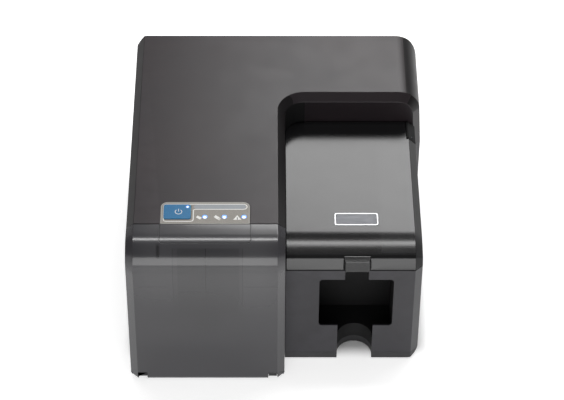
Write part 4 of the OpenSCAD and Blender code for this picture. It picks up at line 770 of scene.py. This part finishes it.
@dataclass
class Studio:
    """Plain pale floor, soft boxes and the camera of the photograph.

    Attributes:
        eye, pitch, yaw, roll: Place of the camera in millimetres, and its turns in degrees.
        lens, sensor, shift: Focal length, sensor width and sideways shift.
        floor_half, floor_tone: Half the floor's width in metres, and its linear grey.
        floor_lift: Light that the floor adds for the camera.
        footprint, contact: Area under the object where the floor adds no light, which paints a
            darker patch of shadow there, and its soft edge.
        wall_rim, ceiling: Where the white wall turns into the ceiling, and how bright that is.
        fill: Brightness of the world for rays that don't see it.
        boxes: The soft boxes that the curved fronts mirror.
    """

    eye: Point = (-16.5, -2073.9, 2089.0)
    pitch: float = 43.583
    yaw: float = 0.086
    roll: float = 0.096
    lens: float = 146.59
    sensor: float = 36.0
    shift: float = 0.02645
    floor_half: float = 6.0
    floor_tone: float = 0.84
    floor_lift: float = 0.6
    footprint: Area = (-180.0, -150.0, 180.0, 198.0)
    contact: float = 26.0
    wall_rim: Spot = (0.03, 0.16)
    ceiling: float = 0.12
    fill: float = 0.33
    boxes: tuple[SoftBox, ...] = (
        SoftBox("back_box", (0.56, 1.42, 1.52), (0.1, 0.0, 0.2), (1.44, 0.62), 15.5),
        SoftBox("strip_box", (0.1, 0.42, 1.95), (0.1, -0.15, 0.2), (1.9, 0.26), 14.0),
        SoftBox("front_box", (-0.05, -1.62, 0.64), (0.0, -0.15, 0.2), (1.5, 0.84), 11.0),
    )

    def build(self) -> None:
        """Makes the camera, the floor, the world and the lamps."""
        bpy.context.scene.view_settings.view_transform = "Standard"
        self.camera()
        self.floor()
        self.world()
        for box in self.boxes:
            box.hang()

    def camera(self) -> None:
        """Places the camera at the photograph's viewpoint."""
        data = bpy.data.cameras.new("camera")
        data.sensor_width, data.lens, data.shift_x = self.sensor, self.lens, self.shift
        data.clip_end = 50.0
        pitch, yaw, roll = (math.radians(a) for a in (self.pitch, self.yaw, self.roll))
        ahead = Vector((math.sin(yaw) * math.cos(pitch), math.cos(yaw) * math.cos(pitch),
                        -math.sin(pitch)))
        right = Vector((math.cos(yaw), -math.sin(yaw), 0))
        up = right.cross(ahead)
        side = right * math.cos(roll) + up * math.sin(roll)
        top = up * math.cos(roll) - right * math.sin(roll)
        camera = linked("camera", data)
        turn = Matrix((side, top, -ahead)).transposed().to_4x4()
        camera.matrix_world = Matrix.Translation(Vector(self.eye) * MM) @ turn
        bpy.context.scene.camera = camera

    @staticmethod
    def seen(g: Nodes) -> Socket:
        """Gives 1 for rays that see the background, directly or in gloss and glass."""
        path = g.add("ShaderNodeLightPath").outputs
        result = g.math("MAXIMUM", path["Is Camera Ray"], path["Is Glossy Ray"])
        return g.math("MAXIMUM", result, path["Is Transmission Ray"])

    def floor(self) -> None:
        """Lays the pale floor, which keeps the object's shadow and has a painted darker patch
        under the object.
        """
        bpy.ops.mesh.primitive_plane_add(size=2 * self.floor_half)
        floor = bpy.context.object
        floor.name = "studio_floor"
        g = Graph("floor_pale")
        tone = (*[self.floor_tone] * 3, 1)
        g.fixed(Base_Color=tone, Roughness=0.9, Emission_Color=(1, 1, 1, 1))
        # no added light under the object: a painted shadow with soft edges
        under = g.window(g.axes["X"], g.axes["Y"], self.footprint, self.contact)
        lift = g.math("MULTIPLY", self.seen(g), g.math("SUBTRACT", 1.0, under))
        strength = g.math("MULTIPLY", lift, self.floor_lift)
        g.feed(g.shader.inputs["Emission Strength"], strength)
        floor.data.materials.append(g.material)

    def world(self) -> None:
        """Sets a white wall round the object under a dim ceiling, and a plain fill."""
        world = bpy.data.worlds.new("studio_world")
        bpy.context.scene.world = world
        world.use_nodes = True
        g = Nodes(world.node_tree)
        inputs = g.tree.nodes["Background"].inputs
        inputs["Color"].default_value = (1, 1, 1, 1)
        ray = g.add("ShaderNodeTexCoord").outputs["Generated"]
        height = g.add("ShaderNodeSeparateXYZ", {0: ray}).outputs[2]
        wall = g.ramp(height, *self.wall_rim, 1.0, self.ceiling)
        shade = g.add("ShaderNodeMix", {0: self.seen(g), 2: self.fill, 3: wall})
        g.feed(inputs["Strength"], shade.outputs[0])


# ---- sub-assemblies


@dataclass
class Shell:
    """Fixed outer mouldings, the two next to them inside, and the feet.

    Attributes:
        edge, inner_edge, feet_edge: Eased edges outside, inside and of the feet.
        ledge: Height above which the front wall shows its inner side.
        recess, recess_top: Plan and top of the walls round the lid's recess, which take the matt
            inner finish as painted shade.
        seam: Y in front of which the cover lies behind the door.
        flank: Least sideways and upward share of a slanted flank's normal; such a flank takes the
            finish with painted shade.
    """

    edge: float = 0.45
    inner_edge: float = 0.4
    feet_edge: float = 0.3
    ledge: float = 153.2
    recess: Area = (9.0, 40.0, 172.0, 80.0)
    recess_top: float = 190.0
    seam: float = -147.6
    flank: Spot = (0.4, 0.08)

    def build(self) -> None:
        """Dresses the fixed covers."""
        eased("top_cover", self.edge, COVER, COVER_FLANK_SHADE, INNER, slot="cover_plastic",
              chooser=self.cover_part)
        eased("lower_housing", self.edge, HOUSING, slot="housing_plastic")
        eased("front_right_housing", self.edge, HOUSING, INNER, slot="housing_plastic",
              chooser=lambda f: int(f.center.z > self.ledge * MM))
        eased("base_pan", self.edge, PAN, slot="pan_plastic")
        for node in ("front_bulkhead", "output_tray"):
            eased(node, self.inner_edge, INNER, slot="inner_plastic")
        eased("rubber_feet", self.feet_edge, FEET, slot="rubber")

    def cover_part(self, face: bpy.types.MeshPolygon) -> int:
        """Tells the cover's slanted flanks, 1, and the walls of its recess, 2, from the rest; both
        take darker finishes that paint their shade.
        """
        x, y, z = face.center / MM
        x0, y0, x1, y1 = self.recess
        # the recess walls take the matt inner finish, which paints their shade
        if (x0 < x < x1 and y0 < y < y1 and z < self.recess_top) or y < self.seam:
            return 2
        return int(abs(face.normal.x) > self.flank[0] and face.normal.z > self.flank[1])


@dataclass
class CardDoor:
    """Smoked card door with the outline of the panel's tongue, drawn as a bead of painted shade
    and a bead of painted highlight.

    Attributes:
        edge: Width of its eased edges.
        bend: Y, Z and radius of the axis that its top curves round.
        seam, rear: Y of its rear edge, and the height above which that is an inner face.
        sides, reach, corner: X of the tongue's two lines, its length and corner radius.
        bead, sunk: Radius of its groove, and the share of it that lies under the skin.
        sheen: Inset of the painted highlight line beside the groove, and its share of the radius.
    """

    edge: float = 0.5
    bend: Point = (-164.9, 183.6, 34.0)
    seam: float = -148.6
    rear: float = 200.0
    sides: Spot = (-139.0, -32.7)
    reach: float = 13.0
    corner: float = 4.5
    bead: float = 0.32
    sunk: float = 0.3
    sheen: Spot = (-0.75, 0.6)

    def build(self) -> None:
        """Dresses the door and lays the tongue's outline on its curve."""
        eased("input_door", self.edge, DOOR_SMOKE, INNER, slot="smoked_cover", body=Body.DOOR,
              chooser=lambda f: int(f.center.y > self.seam * MM and f.center.z > self.rear * MM))
        inset, share = self.sheen
        # tongue_groove is a dark bead of painted shade in the groove, tongue_edge a pale bead of
        # painted highlight beside it
        for name, shift, radius, finish in (
                ("tongue_groove", 0.0, self.bead, GROOVE_SHADE),
                ("tongue_edge", inset, self.bead * share, EDGE_LIGHT)):
            line = tube(name, self.tongue(shift), radius)
            place(paint(line, finish), Body.DOOR, "smoked_cover")

    def on_bend(self, x: float, run: float) -> Point:
        """Gives the place on the door's skin, a run forward of where its bend starts."""
        y, z, radius = self.bend
        skin = radius - self.bead * self.sunk
        if run <= 0:
            return (x, y - run, z + skin)
        turn = run / radius
        return (x, y - skin * math.sin(turn), z + skin * math.cos(turn))

    def tongue(self, inset: float) -> list[Point]:
        """Gives the tongue's outline as points on the skin, moved inwards by an inset."""
        x0, x1 = self.sides[0] + inset, self.sides[1] - inset
        end, r = self.reach - inset, self.corner
        start = self.bend[0] - self.seam
        flat = [(x0, start), (x0, start / 2), (x0, 0.0), (x0, (end - r) / 2)]
        turns = [math.radians(15 * n) for n in range(7)]
        left = flat + [(x0 + r - r * math.cos(a), end - r + r * math.sin(a)) for a in turns]
        right = [(x0 + x1 - x, run) for x, run in reversed(left)]
        return [self.on_bend(x, run) for x, run in left + right]


@dataclass
class InkLid:
    """Smoked ink lid with its bare badge plate.

    Attributes:
        edge, badge_edge: Eased edges of the lid and of its badge.
        flank, turned: Least X and least sideways share of the normal of the lid's flank, which
            takes the finish with painted shade.
        field: Height below which the badge's top is its sunk field.
        middle, half, corner: Middle, half size and corner radius of the line round the field.
        line: Width, foot and thickness of that line.
    """

    edge: float = 0.4
    badge_edge: float = 0.15
    flank: float = 150.0
    turned: float = 0.4
    field: float = 178.4
    middle: Spot = (93.3, -99.4)
    half: Spot = (23.9, 8.2)
    corner: float = 1.3
    line: Point = (0.8, 178.24, 0.04)

    def build(self) -> None:
        """Dresses the lid and the badge."""
        eased("ink_lid", self.edge, LID_SMOKE, LID_FLANK_SHADE, slot="smoked_cover", body=Body.LID,
              chooser=lambda f: int(f.normal.x > self.turned and f.center.x > self.flank * MM))
        eased("badge_plate", self.badge_edge, BADGE, BADGE_FIELD, slot="badge_metal",
              body=Body.LID,
              chooser=lambda f: int(f.normal.z > LEVEL and f.center.z < self.field * MM))
        (x, y), r = self.middle, self.corner
        w, d = self.half[0] - r, self.half[1] - r
        corners = ((x + w, y + d), (x - w, y + d), (x - w, y - d), (x + w, y - d))
        path = [spot for n, at in enumerate(corners) for spot in bow(at, r, 90 * n, 90, 3)]
        width, foot, height = self.line
        place(paint(band("badge_line", path, foot, width, height), DARK_INK), Body.LID)


@dataclass
class ControlPanel:
    """Panel with its key, lamps and printed signs.

    Attributes:
        edges: Eased edges of the panel, its key and its lenses.
        top, sink, ink: Height of the face, and the prints' depth under it and thickness.
        field, corner: Limits of the panel, and radius of its back corners.
        rim_line: How far its printed line lies outwards, and the line's width.
        key, key_corners, key_line: Limits, outer and inner radius and width of the key's outline.
        strip: X of the bare strip's right end and Y of its foot.
        strip_gaps: From the key to the strip's print, then what that is smaller by.
        lamps, lit: Middles of the lenses, how far forward they are lit, and how wide.
        cards, card: Middles of the card signs, and a card's corners from there.
        stack, slant: Distance and thickness of the cards below, and how far forward they go.
        warning, warning_size: Middle of the warning sign's foot, its half width and height.
        film, bar: Thickness of flat prints, and width, depth and corner of the sign's bar.
        dot: How far its dot lies behind its foot, and the dot's radius.
    """

    edges: Point = (0.2, 0.35, 0.3)
    top: float = 218.0
    sink: float = 0.01
    ink: float = 0.07
    field: Area = (-138.7, -147.9, -33.7, -111.6)
    corner: float = 8.0
    rim_line: Spot = (-0.9, 0.6)
    key: Area = (-135.15, -144.35, -100.15, -115.3)
    key_corners: Spot = (3.4, 2.2)
    key_line: float = 1.1
    strip: Spot = (-37.15, -124.0)
    strip_gaps: Area = (0.4, 1.6, 1.2, 0.7)
    lamps: tuple[Spot, ...] = ((-86.6, -136.5), (-63.6, -136.5), (-40.6, -136.5))
    lit: Spot = (1.3, 2.9)
    cards: tuple[Spot, ...] = ((-93.6, -137.9), (-72.6, -137.3))
    card: tuple[Spot, ...] = ((-3.45, 0.3), (1.45, -3.4), (3.45, -0.3), (-1.45, 3.4))
    stack: Spot = (0.75, 0.42)
    slant: float = 1.25
    warning: Spot = (-48.5, -141.6)
    warning_size: Spot = (4.9, 7.7)
    film: float = 0.05
    bar: Point = (0.9, 2.7, 0.3)
    dot: Spot = (0.75, 0.55)

    def build(self) -> None:
        """Models the panel."""
        panel_edge, key_edge, lens_edge = self.edges
        eased("panel_bezel", panel_edge, PANEL, slot="panel_plastic")
        eased("power_button", key_edge, BUTTON_BLUE, slot="button_plastic", body=Body.BUTTON)
        forward, radius = self.lit
        lens = Lamp("lens_pale", LENS_BLUE, tuple((x, y - forward) for x, y in self.lamps), radius)
        eased("indicator_lenses", lens_edge, lens, slot="lens_plastic")
        self.outlines()
        self.card_signs()

    def outlines(self) -> None:
        """Lays the panel's rim and the one outline of the key and the bare strip."""
        z, (out, line) = self.top - self.sink, self.rim_line
        x0, x1 = self.field[0] - out, self.field[2] + out
        y0, y1, r = self.field[1], self.field[3] + out, self.corner + out
        path = [(x0, y0), (x1, y0)] + bow((x1 - r, y1 - r), r, 0, 90)
        path += bow((x0 + r, y1 - r), r, 90, 90)
        place(paint(band("panel_outline", path, z, line), GREY_INK))

        x0, y0, x1, y1 = self.key
        (end, foot), (r, s) = self.strip, self.key_corners
        half = (y1 - foot) / 2
        path = bow((x0 + r, y0 + r), r, 180, 90) + bow((x1 - r, y0 + r), r, 270, 90)
        path += bow((x1 + s, foot - s), s, 180, -90)
        path += bow((end - half, foot + half), half, 270, 180, 12)
        path += bow((x0 + r, y1 - r), r, 90, 90)
        place(paint(band("key_outline", path, z, self.key_line), WHITE_INK))

        gap, shorter, lower, sharper = self.strip_gaps
        wide = end - x1 - shorter
        strip = slab("strip_field", (x1 + gap + wide / 2, foot + half, z),
                     (wide, 2 * half - lower, self.film), half - sharper)
        place(paint(strip, STRIP))

    def card_signs(self) -> None:
        """Prints the generic signs for one card, a stack of cards and a warning."""
        z, pieces = self.top - self.sink, []
        for n, (x, y) in enumerate(self.cards):
            pieces.append(plate(f"card_{n}", [(x + u, y + v) for u, v in self.card], z, self.ink))
        step, thick = self.stack
        x, y = self.cards[-1]
        front = self.card[:3]
        for n in (1, 2):
            near, far = step * n - thick, step * n
            corners = [(x + u + near, y + v - near * self.slant) for u, v in front]
            corners += [(x + u + far, y + v - far * self.slant) for u, v in reversed(front)]
            pieces.append(plate(f"card_edge_{n}", corners, z, self.ink))
        (x, y), (w, h) = self.warning, self.warning_size
        pieces.append(plate("warning", [(x - w, y), (x + w, y), (x, y + h)], z, self.ink))
        place(fuse("panel_signs", [paint(p, WHITE_INK) for p in pieces]))
        (w, d, corner), (back, radius), z = self.bar, self.dot, z + self.ink
        bar = slab("bar", (x, y + d, z), (w, d, self.film), corner)
        dot = disc("dot", (x, y + back, z + 0.02), radius, self.film, rim=0.01, steps=16)
        place(fuse("warning_mark", [paint(p, DARK_INK) for p in (bar, dot)]))


@dataclass
class PowerSign:
    """Power sign and small lamp on the blue key.

    Attributes:
        middle, radius, steps: The sign's ring.
        arc: Where the ring starts and how far it turns, in degrees.
        stem: Points of the stem behind the ring's middle.
        line, sunk: Radius of both lines, and how deep sign and lamp lie under the key's top.
        lamp, lamp_size: Middle of the lamp, and its radius, height and rim.
        lit: How far forward it is lit, and how wide.
    """

    middle: Spot = (-117.6, -129.3)
    radius: float = 3.9
    arc: Spot = (128.0, 284.0)
    steps: int = 28
    stem: Point = (0.4, 2.5, 4.9)
    line: float = 0.6
    sunk: Spot = (0.4, 0.45)
    lamp: Spot = (-107.2, -120.6)
    lamp_size: Point = (2.05, 1.1, 0.3)
    lit: Spot = (0.6, 2.0)

    def build(self) -> None:
        """Prints the sign on the key and sets the lamp in its pit."""
        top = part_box("power_button")[1][2] / MM
        (x, y), z = self.middle, top - self.sunk[0]
        spots = bow(self.middle, self.radius, *self.arc, self.steps)
        ring = tube("ring", [(*spot, z) for spot in spots], self.line)
        stem = tube("stem", [(x, y + reach, z) for reach in self.stem], self.line)
        sign = fuse("power_sign", [paint(p, WHITE_INK) for p in (ring, stem)])
        place(sign, Body.BUTTON)
        (x, y), (radius, height, rim) = self.lamp, self.lamp_size
        lamp = disc("key_lamp", (x, y, top - self.sunk[1]), radius, height, rim, steps=32)
        forward, lit_radius = self.lit
        light = Lamp("key_lamp_pale", LENS_BLUE, ((x, y - forward),), lit_radius)
        place(paint(lamp, light), Body.BUTTON, "lens_plastic")


@dataclass
class Inside:
    """Everything under the covers that keeps its CAD shape.

    Attributes:
        rubber: Share of a roller's radius beyond which it is rubber.
        margins: How far below and above a bare board its lacquer still goes.
        label: Thickness of the cartridge's label.
    """

    rubber: float = 0.8
    margins: Spot = (0.1, 0.15)
    label: float = 0.2

    def build(self) -> None:
        """Dresses the inner nodes."""
        for node, body in (("pick_roller", Body.PICK), ("feed_roller", Body.FEED),
                           ("exit_roller", Body.EXIT)):
            self.roller(node, body)
        self.board("control_board")
        self.board("main_board")
        self.cartridge()
        self.spring()
        dress(SHAFT, "lift_screw", "feed_pinch_roller", "exit_pinch_roller")
        dress(ROD, "shuttle_rods", "gantry_rods")
        dress(SHEET, "chassis_plate", "feed_frame", "exit_frame", "shuttle_frame", "gantry_frame",
              "power_supply", "rear_ports", "lift_plate", "shuttle_drive_pulley",
              "shuttle_idler_pulley", "carriage_drive_pulley", "carriage_idler_pulley")
        dress(CAN, "lift_motor", "feed_motor", "exit_motor", "shuttle_motor", "carriage_motor")
        dress(GEAR, "pick_gear", "pick_idler_gear", "feed_idler_gear", "feed_gear")
        dress(BRASS, "motor_pinion")
        dress(BELT, "shuttle_belt", "carriage_belt")
        dress(WHITE, "card_shuttle")
        dress(INNER, "input_hopper")
        dress(BLACK, "print_carriage", "service_station", "fan_frame", "fan_rotor",
              "power_inlet", "power_switch")
        dress(GREEN, "cartridge_latch")
        dress(SCREW, "case_screws", "hinge_pins")

    def roller(self, node: str, body: Body) -> None:
        """Gives a roller its ground rubber and its steel shaft."""
        low, high = (corner / MM for corner in map(Vector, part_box(node)))
        middle, radius = (low + high) / 2, (high.z - low.z) / 2
        parted(node, body, "roller_rubber", lambda p: int(
            math.hypot(p[1] - middle.y, p[2] - middle.z) > self.rubber * radius), SHAFT, ROLL)

    def board(self, node: str) -> None:
        """Gives a board its lacquer, and its parts and posts black plastic."""
        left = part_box(node)[0][0]
        edge = [v.co.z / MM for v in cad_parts[node].data.vertices
                if abs(v.co.x - left) < 0.5 * MM]
        foot, top = min(edge) - self.margins[0], max(edge) + self.margins[1]
        parted(node, Body.HOUSING, "board_green", lambda p: int(not foot < p[2] < top),
               BOARD, BLACK)

    def cartridge(self) -> None:
        """Gives the ink cartridge a plain coloured label on its top."""
        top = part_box("ink_cartridge")[1][2] / MM
        parted("ink_cartridge", Body.CARRIAGE, "black_plastic",
               lambda p: int(p[2] < top - self.label), CYAN, BLACK)

    @staticmethod
    def spring() -> None:
        """Makes the key's spring again in steel, on a mesh of its own."""
        spring = parted("button_spring", Body.HOUSING, "shaft_metal", lambda p: 0, SHAFT)
        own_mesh(spring)


def main() -> None:
    """Builds the studio and the sub-assemblies."""
    logging.basicConfig(level=logging.INFO, format="%(name)s: %(message)s")
    for part in (Studio(), Shell(), CardDoor(), InkLid(), ControlPanel(), PowerSign(), Inside()):
        log.info("building %s", type(part).__name__)
        part.build()


if __name__ == "__main__":
    main()
